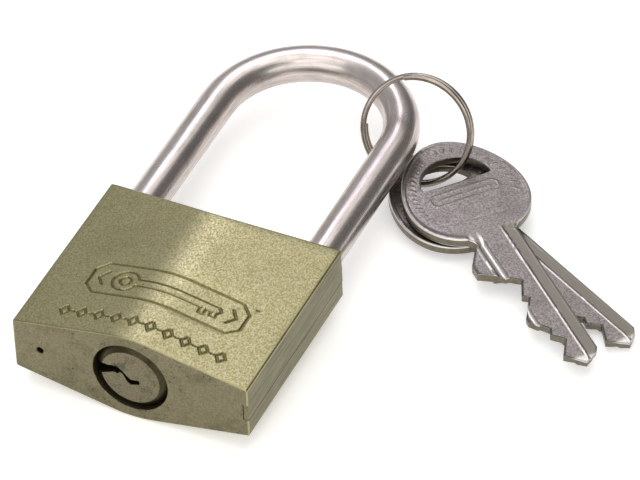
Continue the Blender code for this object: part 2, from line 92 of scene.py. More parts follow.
def linear(hex_colour: str) -> tuple[float, float, float, float]:
    """Turn an sRGB hex colour into linear light.

    Args:
        hex_colour: Six hex digits, with or without a leading #.

    Returns:
        Red, green, blue and an alpha of 1.
    """
    digits = hex_colour.lstrip("#")
    channels = [int(digits[k : k + 2], 16) / 255 for k in (0, 2, 4)]
    low = [c / 12.92 if c <= 0.04045 else ((c + 0.055) / 1.055) ** 2.4 for c in channels]
    return (*low, 1.0)


def add_node(tree: bpy.types.NodeTree, kind: str, inputs: dict | None = None, **settings) -> bpy.types.Node:
    """Add one node with its settings and links.

    Args:
        tree: The node tree that the node joins.
        kind: Blender's name for the type of node.
        inputs: Input name or number to a socket, which is linked, or to a value, which is set.
        settings: The node's own attributes.

    Returns:
        The new node.
    """
    node = tree.nodes.new(kind)
    for name, value in settings.items():
        setattr(node, name, value)
    for name, value in (inputs or {}).items():
        if isinstance(value, bpy.types.NodeSocket):
            tree.links.new(value, node.inputs[name])
        else:
            node.inputs[name].default_value = value
    return node


@dataclass(frozen=True)
class Finish:
    """A metal's look: its colour, its grain, its clouds of tarnish and its pits. Several colours also carry
    painted shade, and the keys' near-white colour carries painted highlight.

    Attributes:
        name: The material's name.
        base: The metal's main colour.
        speck: The colour of the grain that catches less light.
        stain: The colour of the tarnish and of the pits' floors.
        roughness: Lowest and highest roughness, which the grain runs between.
        grain_mm: Size of the grain along X, Y and Z.
        grain_share: How much of the speck colour the grain takes on.
        grain_depth_mm: Height of the grain.
        cloud_mm: Size of the clouds of tarnish.
        cloud_share: How much of the stain colour a cloud takes on.
        pit_mm: Spacing of the pits, or 0 for none.
        pit_share: Share of the surface that the pits take, from 0 to 1.
        metallic: 1 for bare metal and less where a dull layer covers it.
        unbent: Whether the pattern follows the piece's own length, kept in its "unbent" attribute.
        scuff_and_light: Colour where the piece's "scuffed_and_highlit" attribute is 1, or nothing; it paints
            wear and painted highlight.
        milled: Colour where the piece's "milled" attribute is 1, or nothing; it paints duller milled metal
            and painted shade.
    """

    name: str
    base: str
    speck: str
    stain: str
    roughness: tuple[float, float]
    grain_mm: tuple[float, float, float]
    grain_share: float = 0.5
    grain_depth_mm: float = 0.01
    cloud_mm: float = 6.0
    cloud_share: float = 0.3
    pit_mm: float = 0.0
    pit_share: float = 0.04
    metallic: float = 1.0
    unbent: bool = False
    scuff_and_light: str = ""
    milled: str = ""

    def pattern(
        self, tree: bpy.types.NodeTree, size: tuple[float, float, float], detail: float
    ) -> bpy.types.NodeSocket:
        """Add a noise of a given size in millimetres.

        Args:
            tree: The material's node tree.
            size: Size of the pattern along X, Y and Z.
            detail: Number of finer layers.

        Returns:
            The noise's value, from 0 to 1.
        """
        if self.unbent:
            place = add_node(tree, "ShaderNodeAttribute", attribute_name="unbent").outputs["Vector"]
        else:
            place = add_node(tree, "ShaderNodeTexCoord").outputs["Object"]
        scale = tuple(1 / (MM * s) for s in size)
        mapped = add_node(tree, "ShaderNodeMapping", {"Vector": place, "Scale": scale})
        inputs = {"Vector": mapped.outputs["Vector"], "Scale": 1.0, "Detail": detail, "Roughness": 0.6}
        return add_node(tree, "ShaderNodeTexNoise", inputs).outputs["Fac"]

    def spread(
        self, tree: bpy.types.NodeTree, value: bpy.types.NodeSocket, low: float, high: float,
        to: tuple[float, float]
    ) -> bpy.types.NodeSocket:
        """Stretch a value from the range low to high onto another range, smoothly.

        Args:
            tree: The material's node tree.
            value: The value to stretch.
            low: The value that becomes the new range's start.
            high: The value that becomes the new range's end.
            to: The new range.

        Returns:
            The stretched value.
        """
        inputs = {"Value": value, "From Min": low, "From Max": high, "To Min": to[0], "To Max": to[1]}
        node = add_node(tree, "ShaderNodeMapRange", inputs, interpolation_type="SMOOTHSTEP")
        return node.outputs["Result"]

    def tinted(
        self, tree: bpy.types.NodeTree, share: bpy.types.NodeSocket, first: object, second: object
    ) -> bpy.types.NodeSocket:
        """Mix two colours.

        Args:
            tree: The material's node tree.
            share: How much of the second colour shows.
            first: A colour or a socket.
            second: A colour or a socket.

        Returns:
            The mixed colour.
        """
        inputs = {0: share, 6: first, 7: second}
        return add_node(tree, "ShaderNodeMix", inputs, data_type="RGBA").outputs[2]

    def material(self) -> bpy.types.Material:
        """Build the material, or return the one already built under this name."""
        found = bpy.data.materials.get(self.name)
        if found:
            return found
        made = bpy.data.materials.new(self.name)
        made.use_nodes = True
        tree = made.node_tree
        shader = tree.nodes["Principled BSDF"]
        shader.inputs["Metallic"].default_value = self.metallic
        grain = self.pattern(tree, self.grain_mm, 3.0)
        cloud = self.pattern(tree, (self.cloud_mm,) * 3, 4.0)
        specks = self.spread(tree, grain, 0.35, 0.65, (0, self.grain_share))
        colour = self.tinted(tree, specks, linear(self.base), linear(self.speck))
        stains = self.spread(tree, cloud, 0.45, 0.75, (0, self.cloud_share))
        colour = self.tinted(tree, stains, colour, linear(self.stain))
        # Masks on the piece paint near-white wear and highlight, and darker milled metal and shade, over the
        # metal.
        for mask, shade in (("milled", self.milled), ("scuffed_and_highlit", self.scuff_and_light)):
            if shade:
                share = add_node(tree, "ShaderNodeAttribute", attribute_name=mask).outputs["Fac"]
                colour = self.tinted(tree, share, colour, linear(shade))
        height = grain
        if self.pit_mm:
            spots = self.pattern(tree, (self.pit_mm,) * 3, 1.0)
            edge = 0.66 - 1.6 * self.pit_share
            pits = self.spread(tree, spots, edge, edge + 0.05, (0, 0.8))
            crowded = self.spread(tree, cloud, 0.42, 0.62, (0, 1))
            pits = add_node(tree, "ShaderNodeMath", {0: pits, 1: crowded}, operation="MULTIPLY").outputs[0]
            colour = self.tinted(tree, pits, colour, linear(self.stain))
            deep = add_node(tree, "ShaderNodeMath", {0: pits, 1: -3.0}, operation="MULTIPLY").outputs[0]
            height = add_node(tree, "ShaderNodeMath", {0: grain, 1: deep}, operation="ADD").outputs[0]
        tree.links.new(colour, shader.inputs["Base Color"])
        rough = self.spread(tree, grain, 0.3, 0.7, self.roughness)
        tree.links.new(rough, shader.inputs["Roughness"])
        inputs = {"Height": height, "Strength": 1.0, "Distance": MM * self.grain_depth_mm}
        bump = add_node(tree, "ShaderNodeBump", inputs)
        tree.links.new(bump.outputs["Normal"], shader.inputs["Normal"])
        return made


# Extruded brass, its broad faces rubbed on a fine belt: an even, sparkling olive-gold grain.
SANDED_BRASS = Finish(
    "sanded_brass", "#AFA98A", "#858049", "#77714F", (0.34, 0.46), (0.26, 0.38, 0.26),
    grain_share=0.85, grain_depth_mm=0.020, cloud_mm=9, cloud_share=0.25)
# The narrow sides are drawn along their length, which leaves fine straight lines. Their colour is painted
# darker than the broad faces' as painted shade.
DRAWN_BRASS_AND_SHADE = Finish(
    "drawn_brass_and_shade", "#757050", "#565133", "#47422B", (0.30, 0.42), (0.22, 9.0, 0.16),
    grain_share=0.8, grain_depth_mm=0.02, cloud_mm=7, cloud_share=0.35)
# The ends are faced and then handled: greyer and duller, with small pits and smudges. Their colour is painted
# darker than the broad faces' as painted shade.
FACED_BRASS_AND_SHADE = Finish(
    "faced_brass_and_shade", "#837D64", "#6C664E", "#474232", (0.42, 0.56), (0.3, 0.3, 0.3),
    grain_share=0.6, grain_depth_mm=0.016, cloud_mm=3.5, cloud_share=0.4, pit_mm=0.6, pit_share=0.002)
# The edges between them are broken with a scraper and rub bright.
BROKEN_EDGE = Finish(
    "broken_edge_brass", "#A09975", "#827B59", "#655F42", (0.26, 0.36), (0.4, 0.4, 0.4),
    grain_share=0.4, grain_depth_mm=0.006, cloud_mm=3, cloud_share=0.3)
# Bore walls, and the plug's side inside its bore, are painted dark brass: painted shade inside the holes.
BORE_PAINTED_SHADE = Finish(
    "bore_painted_shade", "#4A4430", "#332E20", "#1E1B14", (0.45, 0.6), (0.3, 0.3, 0.3),
    grain_share=0.6, grain_depth_mm=0.01, cloud_mm=3, cloud_share=0.4)
# Pressed marks keep the dull skin that the belt takes off around them, and are painted darker still as
# painted shade in their grooves.
PRESSED_BRASS_AND_SHADE = Finish(
    "pressed_brass_and_shade", "#7A744E", "#625C3C", "#504A31", (0.40, 0.52), (0.3, 0.3, 0.3),
    grain_share=0.6, grain_depth_mm=0.01, cloud_mm=3, cloud_share=0.4)
# The plug is turned brass that keys have rubbed: browner, with clouds and pits of dark dirt.
TURNED_BRASS = Finish(
    "turned_brass", "#7F7861", "#5A5442", "#2E2B20", (0.34, 0.48), (0.3, 0.3, 0.3),
    grain_share=0.6, grain_depth_mm=0.014, cloud_mm=2.4, cloud_share=0.5, pit_mm=0.7, pit_share=0.002)
# The shackle is ground rod under satin plating: soft lengthwise streaks.
PLATED_STEEL = Finish(
    "plated_steel", "#CDC4C0", "#AAA199", "#7C756C", (0.24, 0.34), (0.35, 7.0, 0.35),
    grain_share=0.6, grain_depth_mm=0.006, cloud_mm=4, cloud_share=0.25, unbent=True)
# The split ring is hardened wire with thin nickel, worn to a brown sheen between its turns.
NICKELLED_WIRE = Finish(
    "nickelled_wire", "#A79E94", "#857C72", "#544D45", (0.20, 0.32), (0.4, 2.0, 0.4),
    grain_share=0.4, grain_depth_mm=0.004, cloud_mm=2.5, cloud_share=0.45, unbent=True)
# The keys are struck from strip and barrel plated: matte grey nickel with a fine orange peel. Rims, groove
# lips and tips are painted nearly white, wear and painted highlight, the rim brightest along one side; the
# milled floors are painted darker, duller metal and painted shade in the grooves.
STRUCK_NICKEL = Finish(
    "struck_nickel", "#8F8985", "#5F5A55", "#524D48", (0.30, 0.44), (0.30, 0.30, 0.30),
    grain_share=0.75, grain_depth_mm=0.014, cloud_mm=5, cloud_share=0.25, scuff_and_light="#F0EBE8", milled="#77736A")
# Sheared edges show the metal's own olive grey.
SHEARED_NICKEL = Finish(
    "sheared_nickel", "#767163", "#5F5A4D", "#4A4538", (0.30, 0.42), (0.3, 0.3, 0.3),
    grain_share=0.6, grain_depth_mm=0.010, cloud_mm=2, cloud_share=0.4)
# The plug's chamfer is painted dark: painted shade in the groove round the plug.
CHAMFER_PAINTED_SHADE = Finish(
    "chamfer_painted_shade_brass", "#48432F", "#353123", "#222017", (0.30, 0.44), (0.3, 0.3, 0.3),
    grain_share=0.6, grain_depth_mm=0.012, cloud_mm=2, cloud_share=0.5)
# Small steel parts inside are tumbled bright and oiled.
TUMBLED_STEEL = Finish(
    "tumbled_steel", "#A9A6A2", "#8C8985", "#5E5B57", (0.25, 0.38), (0.3, 0.3, 0.3),
    grain_share=0.4, grain_depth_mm=0.005, cloud_mm=2, cloud_share=0.3)
# Springs are drawn music wire.
MUSIC_WIRE = Finish(
    "music_wire", "#8E8B88", "#72706D", "#4A4845", (0.22, 0.34), (0.2, 0.2, 0.2),
    grain_share=0.4, grain_depth_mm=0.003, cloud_mm=1.5, cloud_share=0.3)


# ---------------------------------------------------------------- surfaces


@dataclass
class Surface:
    """Points and faces that become one piece.

    Attributes:
        points: N by 3, in millimetres.
        faces: Lists of point numbers, going round anticlockwise from outside.
        finishes: For each face, which of the piece's finishes it takes.
        unbent: N by 3 in millimetres, each point's place if the piece were straight along Y, or None.
    """

    points: np.ndarray
    faces: list
    finishes: list = field(default_factory=list)
    unbent: np.ndarray | None = None

    def joined(self, other: "Surface") -> "Surface":
        """Both surfaces as one, with nothing merged."""
        shift = len(self.points)
        moved = [[shift + k for k in face] for face in other.faces]
        return Surface(
            np.vstack([self.points, other.points]), [*self.faces, *moved], [*self.finishes, *other.finishes])

    def welded(self, within: float = 1e-4) -> "Surface":
        """Make points that coincide one, and drop the faces that this collapses.

        Args:
            within: How near two points are to count as one.

        Returns:
            The welded surface.
        """
        keys = np.round(self.points / within).astype(np.int64)
        _, first, index = np.unique(keys, axis=0, return_index=True, return_inverse=True)
        index = index.reshape(-1)
        faces, finishes = [], []
        for face, finish in zip(self.faces, self.finishes):
            ring = [int(index[k]) for k in face]
            ring = [k for n, k in enumerate(ring) if k != ring[n - 1]]
            if len(ring) > 2:
                faces.append(ring)
                finishes.append(finish)
        return Surface(self.points[first], faces, finishes)

    def piece(self, name: str, finishes: Sequence[Finish], sharp_deg: float = 32) -> bpy.types.Object:
        """Make the mesh object.

        Args:
            name: The piece's name.
            finishes: What its faces are finished in.
            sharp_deg: Edges that turn more than this stay sharp.

        Returns:
            The object, at the origin.
        """
        mesh = bpy.data.meshes.new(name)
        mesh.from_pydata((self.points * MM).tolist(), [], self.faces)
        for finish in finishes:
            mesh.materials.append(finish.material())
        mesh.polygons.foreach_set("material_index", np.array(self.finishes, np.int32))
        mesh.shade_smooth()
        mesh.set_sharp_from_angle(angle=math.radians(sharp_deg))
        if self.unbent is not None:
            layer = mesh.attributes.new("unbent", "FLOAT_VECTOR", "POINT")
            layer.data.foreach_set("vector", (self.unbent * MM).astype(np.float32).ravel())
        mesh.update()
        obj = bpy.data.objects.new(name, mesh)
        bpy.context.scene.collection.objects.link(obj)
        return obj


def grid_faces(rows: int, columns: int, round_columns: bool = False, start: int = 0) -> np.ndarray:
    """Faces of a grid of points stored row by row.

    Args:
        rows: Number of rows of points.
        columns: Number of points in a row.
        round_columns: Whether each row closes on itself.
        start: The first point's number.

    Returns:
        Four point numbers for each face, one row per face.
    """
    across = columns if round_columns else columns - 1
    row, column = np.meshgrid(np.arange(rows - 1), np.arange(across), indexing="ij")
    following = (column + 1) % columns
    corners = [row * columns + column, row * columns + following,
               (row + 1) * columns + following, (row + 1) * columns + column]
    return start + np.stack([c.ravel() for c in corners], axis=1)


def sheet_of(grid: np.ndarray, finish: int = 0) -> Surface:
    """A grid of points, rows by columns by 3, as a surface."""
    rows, columns = grid.shape[:2]
    faces = grid_faces(rows, columns).tolist()
    return Surface(grid.reshape(-1, 3), faces, [finish] * len(faces))


def swept(
    centres: np.ndarray, outward: np.ndarray, upward: np.ndarray, radii: np.ndarray, finish: int = 0
) -> Surface:
    """A closed tube: point = centre + radius * (outward * cos(a) + upward * sin(a)), a from 0 to 2 pi.

    Args:
        centres: N by 3, the path.
        outward: N by 3, or one direction for all.
        upward: N by 3, or one direction. outward x upward points along the path.
        radii: N by M, the distance from the path at each of M angles.
        finish: Which finish it takes.

    Returns:
        The tube with both ends closed.
    """
    count, sides = radii.shape
    angle = 2 * math.pi * np.arange(sides) / sides
    outward = np.broadcast_to(outward, (count, 3))[:, None, :]
    upward = np.broadcast_to(upward, (count, 3))[:, None, :]
    around = outward * np.cos(angle)[None, :, None] + upward * np.sin(angle)[None, :, None]
    grid = centres[:, None, :] + radii[:, :, None] * around
    faces = grid_faces(count, sides, round_columns=True).tolist()
    last = (count - 1) * sides
    faces.append(list(range(sides))[::-1])
    faces.append(list(range(last, last + sides)))
    along = np.concatenate([[0], np.cumsum(np.linalg.norm(np.diff(centres, axis=0), axis=1))])
    straight = np.stack(
        [radii * np.cos(angle), np.broadcast_to(along[:, None], radii.shape), radii * np.sin(angle)], axis=2)
    return Surface(grid.reshape(-1, 3), faces, [finish] * len(faces), straight.reshape(-1, 3))


def turned(
    profile: Sequence[tuple[float, float]], start: Sequence[float], axis: Sequence[float], sides: int,
    finish: int = 0
) -> Surface:
    """A turned solid, its profile given as (distance along the axis, radius).

    Args:
        profile: The profile's points, in order along the axis.
        start: The axis's first point.
        axis: Its direction.
        sides: Number of sides.
        finish: Which finish it takes.

    Returns:
        The solid, both ends closed.
    """
    along = np.array(axis, float)
    first = np.array([0.0, 0.0, 1.0]) if abs(along[2]) < 0.9 else np.array([1.0, 0.0, 0.0])
    second = np.cross(along, first)
    distance, radius = np.array(profile, float).T
    centres = np.array(start, float) + distance[:, None] * along
    return swept(centres, first, second, np.repeat(radius[:, None], sides, axis=1), finish)


def block(low: Sequence[float], high: Sequence[float], finish: int = 0) -> Surface:
    """A box between two corners, as a square tube along Y."""
    (x0, y0, z0), (x1, y1, z1) = low, high
    rim = [(x0, z0), (x1, z0), (x1, z1), (x0, z1)]
    points = [(x, y, z) for y in (y0, y1) for x, z in rim]
    faces = [[0, 1, 2, 3], [7, 6, 5, 4], [0, 4, 5, 1], [1, 5, 6, 2], [2, 6, 7, 3], [3, 7, 4, 0]]
    return Surface(np.array(points, float), faces, [finish] * 6)


def thickened(sheet: Surface, under: np.ndarray, wall_finish: int) -> Surface:
    """A solid between a sheet and the same sheet with its points elsewhere, walled at every free edge.

    Args:
        sheet: The upper sheet, welded, facing out.
        under: The lower sheet's points, one for each of the upper's.
        wall_finish: Which finish the walls take.

    Returns:
        The closed solid.
    """
    count = len(sheet.points)
    edges = {}
    for face in sheet.faces:
        for k, a in enumerate(face):
            b = face[(k + 1) % len(face)]
            if edges.pop((b, a), None) is None:
                edges[a, b] = True
    lower = [[count + k for k in reversed(face)] for face in sheet.faces]
    walls = [[b, a, count + a, count + b] for a, b in edges]
    finishes = [*sheet.finishes, *sheet.finishes, *[wall_finish] * len(walls)]
    return Surface(np.vstack([sheet.points, under]), [*sheet.faces, *lower, *walls], finishes)


def ramp(value: np.ndarray, low: float, high: float) -> np.ndarray:
    """0 below low, 1 above high, and a smooth step 3 t^2 - 2 t^3 between."""
    t = np.clip((value - low) / (high - low), 0, 1)
    return t * t * (3 - 2 * t)


def rounding(distance: np.ndarray, radius: float) -> np.ndarray:
    """How far a quarter round of this radius drops at a distance from its edge: r - sqrt(r^2 - (r - d)^2)."""
    inside = np.clip(radius - distance, 0, radius)
    return radius - np.sqrt(radius * radius - inside * inside)


def to_strokes(x: np.ndarray, y: np.ndarray, strokes: Sequence[np.ndarray]) -> np.ndarray:
    """Distance from each point to the nearest of some open lines.

    The nearest point of a segment from a to b is a + t (b - a), where t = (p - a).(b - a) / |b - a|^2
    is held between 0 and 1.

    Args:
        x: The points' first coordinate.
        y: The points' second coordinate.
        strokes: Each K by 2, the corners of a line.

    Returns:
        The distance, in the shape of x.
    """
    best = np.full(x.shape, np.inf)
    for stroke in strokes:
        for (ax, ay), (bx, by) in zip(stroke[:-1], stroke[1:]):
            dx, dy = bx - ax, by - ay
            t = np.clip(((x - ax) * dx + (y - ay) * dy) / (dx * dx + dy * dy), 0, 1)
            best = np.minimum(best, np.hypot(x - ax - t * dx, y - ay - t * dy))
    return best


def arc(
    centre: tuple[float, float], radius: float, start_deg: float, end_deg: float, steps: int
) -> np.ndarray:
    """Points of a circular arc, K by 2."""
    angle = np.radians(np.linspace(start_deg, end_deg, steps))
    return np.stack([centre[0] + radius * np.cos(angle), centre[1] + radius * np.sin(angle)], axis=1)


def cut_corner_frame(width: float, height: float, cut: float) -> np.ndarray:
    """A rectangle round the origin whose corners are cut straight off, closed, as K by 2 points."""
    w, h = width / 2, height / 2
    corners = [(-w + cut, -h), (w - cut, -h), (w, -h + cut), (w, h - cut),
               (w - cut, h), (-w + cut, h), (-w, h - cut), (-w, -h + cut), (-w + cut, -h)]
    return np.array(corners)


def key_emblem(length: float) -> list[np.ndarray]:
    """A plain key lying along X, drawn in single lines and centred on the origin.

    Args:
        length: From the bow's far side to the tip.

    Returns:
        Its lines: a round bow with a small hole, a double shaft and two wards.
    """
    bow = 0.115 * length
    centre = -length / 2 + bow
    half = 0.32 * bow
    tip = length / 2
    neck = centre + bow * math.cos(math.asin(half / bow))
    open_deg = math.degrees(math.asin(half / bow))
    shaft_low = [(neck, -half), (tip - 3.2, -half), (tip - 3.2, -2.6 * half), (tip - 2.3, -2.6 * half),
                 (tip - 2.3, -half), (tip - 1.4, -half), (tip - 1.4, -2.2 * half), (tip - 0.5, -2.2 * half),
                 (tip - 0.5, -half), (tip, 0)]
    return [
        arc((centre, 0), bow, open_deg, 360 - open_deg, 28),
        arc((centre, 0), 0.42 * bow, 0, 360, 18),
        np.array([(neck, half), (tip - 0.6, half), (tip, 0)]),
        np.array(shaft_low),
    ]


def cut_into(target: bpy.types.Object, cutters: Sequence[Surface], finishes: Sequence[Finish]) -> None:
    """Take solids out of a piece, leaving their finish on the cut walls.

    Bores that cross each other have no grid of their own, so they are cut.

    Args:
        target: The piece, which keeps the result as its mesh.
        cutters: The solids.
        finishes: The target's finishes, in order.
    """
    helpers = []
    for number, cutter in enumerate(cutters):
        helper = cutter.piece(f"{target.name}_cut_{number}", finishes)
        change = target.modifiers.new(helper.name, "BOOLEAN")
        change.operation = "DIFFERENCE"
        change.solver = "MANIFOLD"
        change.object = helper
        helpers.append(helper)
    ready = target.evaluated_get(bpy.context.evaluated_depsgraph_get())
    mesh = bpy.data.meshes.new_from_object(ready)
    target.modifiers.clear()
    target.data = mesh
    mesh.shade_smooth()
    mesh.set_sharp_from_angle(angle=math.radians(32))
    for helper in helpers:
        bpy.data.objects.remove(helper)


def middle_y(node: str) -> float:
    """The middle of a node's box along Y, in millimetres."""
    low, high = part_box(node)
    return (low.y + high.y) / 2 / MM


# ---------------------------------------------------------------- the lock


class Zone(Enum):
    """Parts of the body's outside, by the finish that they take."""

    BROAD = 0
    SIDE = 1
    END = 2
    EDGE = 3
    BORE = 4
    MARK = 5


@dataclass
class LockBody:
    """The solid brass body: two shallow slopes that meet in a soft crest, front and back."""

    half_width: float = 20.0
    edge_half: float = 4.8
    crest_half: float = 8.28
    crest_span: float = 3.5
    corner: float = 0.4
    end_round: float = 0.24
    shoulder_drop: float = 1.0
    slot_half: float = 1.56
    slot_depth: float = 0.9
    leg_bore: float = 3.18
    leg_mouth: float = 3.4
    latch_bore: float = 2.65
    plug_bore: float = 6.35
    drain_bore: float = 0.55
    retainer_bore: float = 1.0
    mark_depth: float = 0.26
    mark_line: float = 0.38
    fine_step: float = 0.1
    fine_span: tuple[float, float] = (-14.2, 14.9)
    emblem_at: tuple[float, float] = (0.7, -21.7)
    emblem_reach: float = 3.8
    emblem_length: float = 18.5
    dot_at: tuple[float, float] = (14.35, -18.3)
    row_at: tuple[float, float] = (0.5, -30.0)
    row_reach: float = 1.4
    lozenges: int = 10
    lozenge_pitch: float = 2.95

    def crest(self, x: np.ndarray) -> np.ndarray:
        """Height of the front: a parabola z = c - k x^2 / (2 s) in the crest and straight slopes beyond."""
        slope = (self.crest_half - self.edge_half) / (self.half_width - self.crest_span / 2)
        inner = slope * x * x / (2 * self.crest_span)
        outer = slope * (np.abs(x) - self.crest_span / 2)
        return self.crest_half - np.where(np.abs(x) < self.crest_span, inner, outer)

    def corner_points(self, before: Sequence[float], at: Sequence[float], after: Sequence[float]) -> list:
        """A rounded corner: the curve (1-t)^2 a + 2 t (1-t) c + t^2 b between points on its two sides."""
        a, c, b = (np.array(p, float) for p in (before, at, after))
        a = c + (a - c) / np.linalg.norm(a - c) * self.corner
        b = c + (b - c) / np.linalg.norm(b - c) * self.corner
        t = np.linspace(0, 1, 5)[:, None]
        return list((1 - t) ** 2 * a + 2 * t * (1 - t) * c + t * t * b)

    def section(self) -> tuple[np.ndarray, np.ndarray, np.ndarray]:
        """The body's section, clockwise from its front left corner.

        Returns:
            Its points as (x, z), the zone of the stretch after each point, and whether each is on the front.
        """
        w, e = self.half_width, self.edge_half
        reach = w - self.corner
        fine = np.arange(*self.fine_span, self.fine_step)
        left_x = np.linspace(-reach, fine[0], 9)[1:-1]
        right_x = np.linspace(fine[-1], reach, 8)[1:-1]
        front_x = np.concatenate([left_x, fine, right_x])
        inner_x = np.linspace(4, -4, 15)[1:-1]
        back_x = np.concatenate([np.linspace(reach, 4, 10)[1:], inner_x, np.linspace(-4, -reach, 10)[:-1]])
        points, zones, front = [], [], []

        def lay(new: Sequence, zone: Zone, on_front: bool = False) -> None:
            """Add points to the section with the zone of the stretch after each."""
            points.extend(new)
            zones.extend([zone.value] * len(new))
            front.extend([on_front] * len(new))

        slope_left = (-1, self.crest(np.array(-1.0 - self.crest_span)))
        slope_right = (1, slope_left[1])
        lay(self.corner_points((-w, 0), (-w, e), slope_left)[:-1], Zone.EDGE)
        lay([self.corner_points((-w, 0), (-w, e), slope_left)[-1]], Zone.BROAD)
        lay(list(zip(front_x, self.crest(front_x))), Zone.BROAD, True)
        right = self.corner_points(slope_right, (w, e), (w, 0))
        lay(right[:-1], Zone.EDGE)
        lay([right[-1], (w, 2.4), (w, 0.0), (w, -2.4)], Zone.SIDE)
        right_back = self.corner_points((w, 0), (w, -e), (slope_right[0], -slope_right[1]))
        lay(right_back[:-1], Zone.EDGE)
        lay([right_back[-1]], Zone.BROAD)
        lay(list(zip(back_x[:-1], -self.crest(back_x[:-1]))), Zone.BROAD)
        left_back = self.corner_points((slope_left[0], -slope_left[1]), (-w, -e), (-w, 0))
        lay(left_back[:-1], Zone.EDGE)
        lay([left_back[-1], (-w, -2.0), (-w, 2.0)], Zone.SIDE)
        return np.array(points, float), np.array(zones), np.array(front)

    def marks(self) -> list[np.ndarray]:
        """Generic engraving: a framed key, a short stroke beside it, and a row of lozenges and dashes."""
        x, y = self.emblem_at
        lines = [cut_corner_frame(26.2, 6.9, 1.7), *key_emblem(self.emblem_length)]
        for side in (-1, 1):
            lines.append(np.array([(side * 10.6, 1.5), (side * 11.7, 0), (side * 10.6, -1.5)]))
        lines = [line + (x, y) for line in lines]
        lines.append(np.array([(0, 0), (0.15, 0)]) + self.dot_at)
        x, y = self.row_at
        lozenge = np.array([(-0.75, 0), (0, -1.05), (0.75, 0), (0, 1.05), (-0.75, 0)])
        dash = np.array([(-0.12, 0), (0.12, 0)])
        for k in range(self.lozenges):
            lines.append(lozenge + (x + self.lozenge_pitch * (k - 4.5), y))
            if k < self.lozenges - 1:
                lines.append(dash + (x + self.lozenge_pitch * (k - 4), y))
        return lines

    def stations(self) -> np.ndarray:
        """Places along Y as (y, how far the section is drawn in, zone of the stretch that follows)."""
        c = self.end_round
        turn = np.radians(np.linspace(0, 90, 5))
        low = np.stack([KEY_FACE_Y + c * (1 - np.cos(turn)), c * (1 - np.sin(turn))], axis=1)
        row, emblem = (
            np.arange(at[1] - reach, at[1] + reach + 0.01, self.fine_step)
            for at, reach in ((self.row_at, self.row_reach), (self.emblem_at, self.emblem_reach))
        )
        gap = np.linspace(row[-1], emblem[0], 5)[1:-1]
        plain = np.linspace(emblem[-1], -c, 12)[1:-1]
        middle = np.concatenate([[-33.0, -32.0], row, gap, emblem, plain])
        middle = np.stack([middle, np.zeros_like(middle)], axis=1)
        high = np.stack([-low[::-1, 0] + KEY_FACE_Y, low[::-1, 1]], axis=1)
        flat = np.array([[KEY_FACE_Y, c + 0.02]])
        return np.vstack([flat, low, middle, high, [[0, c + 0.02]]])

    def surface(self) -> Surface:
        """The outside: the section carried along Y, drawn in at both ends, with the engraving pressed in.

        Its faces go round clockwise as seen from outside, so they point inwards.
        """
        section, zones, front = self.section()
        ahead = np.roll(section, -1, axis=0) - section
        behind = section - np.roll(section, 1, axis=0)
        normals = [
            np.stack([-step[:, 1], step[:, 0]], axis=1) / np.linalg.norm(step, axis=1)[:, None]
            for step in (behind, ahead)
        ]
        mitre = (normals[0] + normals[1]) / (1 + (normals[0] * normals[1]).sum(axis=1))[:, None]
        place = self.stations()
        flat = section[None] - place[:, 1, None, None] * mitre[None]
        y = np.broadcast_to(place[:, 0, None], flat.shape[:2])
        over = np.maximum(np.abs(flat[..., 1]) - self.edge_half, 0) * self.shoulder_drop
        emblem_top = self.emblem_at[1] + self.emblem_reach
        y = y - over * np.clip((y - emblem_top) / -emblem_top, 0, 1)
        grid = np.stack([flat[..., 0], y, flat[..., 1]], axis=2)
        on_front = np.flatnonzero(front)
        near = to_strokes(grid[:, on_front, 0], grid[:, on_front, 1], self.marks())
        beside = ramp(near, 0.3 * self.mark_line, 0.75 * self.mark_line)
        grid[:, on_front, 2] -= self.mark_depth * (1 - beside)
        rows, columns = grid.shape[:2]
        faces = grid_faces(rows, columns, round_columns=True)
        finish = np.tile(zones, rows - 1).reshape(rows - 1, columns)
        # Faces inside the marks take the darker marked colour: dull skin and painted shade in the grooves.
        pressed = near < 0.6 * self.mark_line
        pressed = pressed[:-1, :-1] & pressed[1:, 1:]
        finish[:, on_front[:-1]] = np.where(pressed, Zone.MARK.value, finish[:, on_front[:-1]])
        bends = place[:, 1] > 0
        bent = bends[1:] | bends[:-1]
        finish[bent] = Zone.EDGE.value
        finish[[0, -1]] = Zone.END.value
        faces = [*faces[:, ::-1].tolist(), list(range(columns))]
        finish = [*finish.ravel().tolist(), Zone.END.value]
        return self.shoulders(Surface(grid.reshape(-1, 3), faces, finish), (rows - 1) * columns)

    def shoulders(self, open_box: Surface, first: int) -> Surface:
        """Close the top: a slanting shoulder at the front and at the back, and a flat strip between them.

        Each rim point above the edge's height gets a partner at y = 0 and at the edge's height, at its own x.

        Args:
            open_box: The body without its top.
            first: The number of the top rim's first point.

        Returns:
            The closed body.
        """
        rim = open_box.points[first:]
        edge = self.edge_half - self.end_round
        partner = rim.copy()
        partner[:, 1] = 0
        partner[:, 2] = np.clip(rim[:, 2], -edge, edge)
        slanting = np.abs(rim[:, 2]) > edge + 0.02
        count = len(rim)
        number = np.arange(first, first + count)
        number[slanting] = len(open_box.points) + np.arange(slanting.sum())
        faces, finish = list(open_box.faces), list(open_box.finishes)
        for k in range(count):
            after = (k + 1) % count
            ring = [first + k, first + after, number[after], number[k]]
            ring = [int(v) for n, v in enumerate(ring) if v not in ring[:n]]
            if len(ring) > 2:
                faces.append(ring[::-1])
                finish.append(Zone.END.value)
        faces.append([int(v) for v in number[::-1]])
        finish.append(Zone.END.value)
        return Surface(np.vstack([open_box.points, partner[slanting]]), faces, finish)

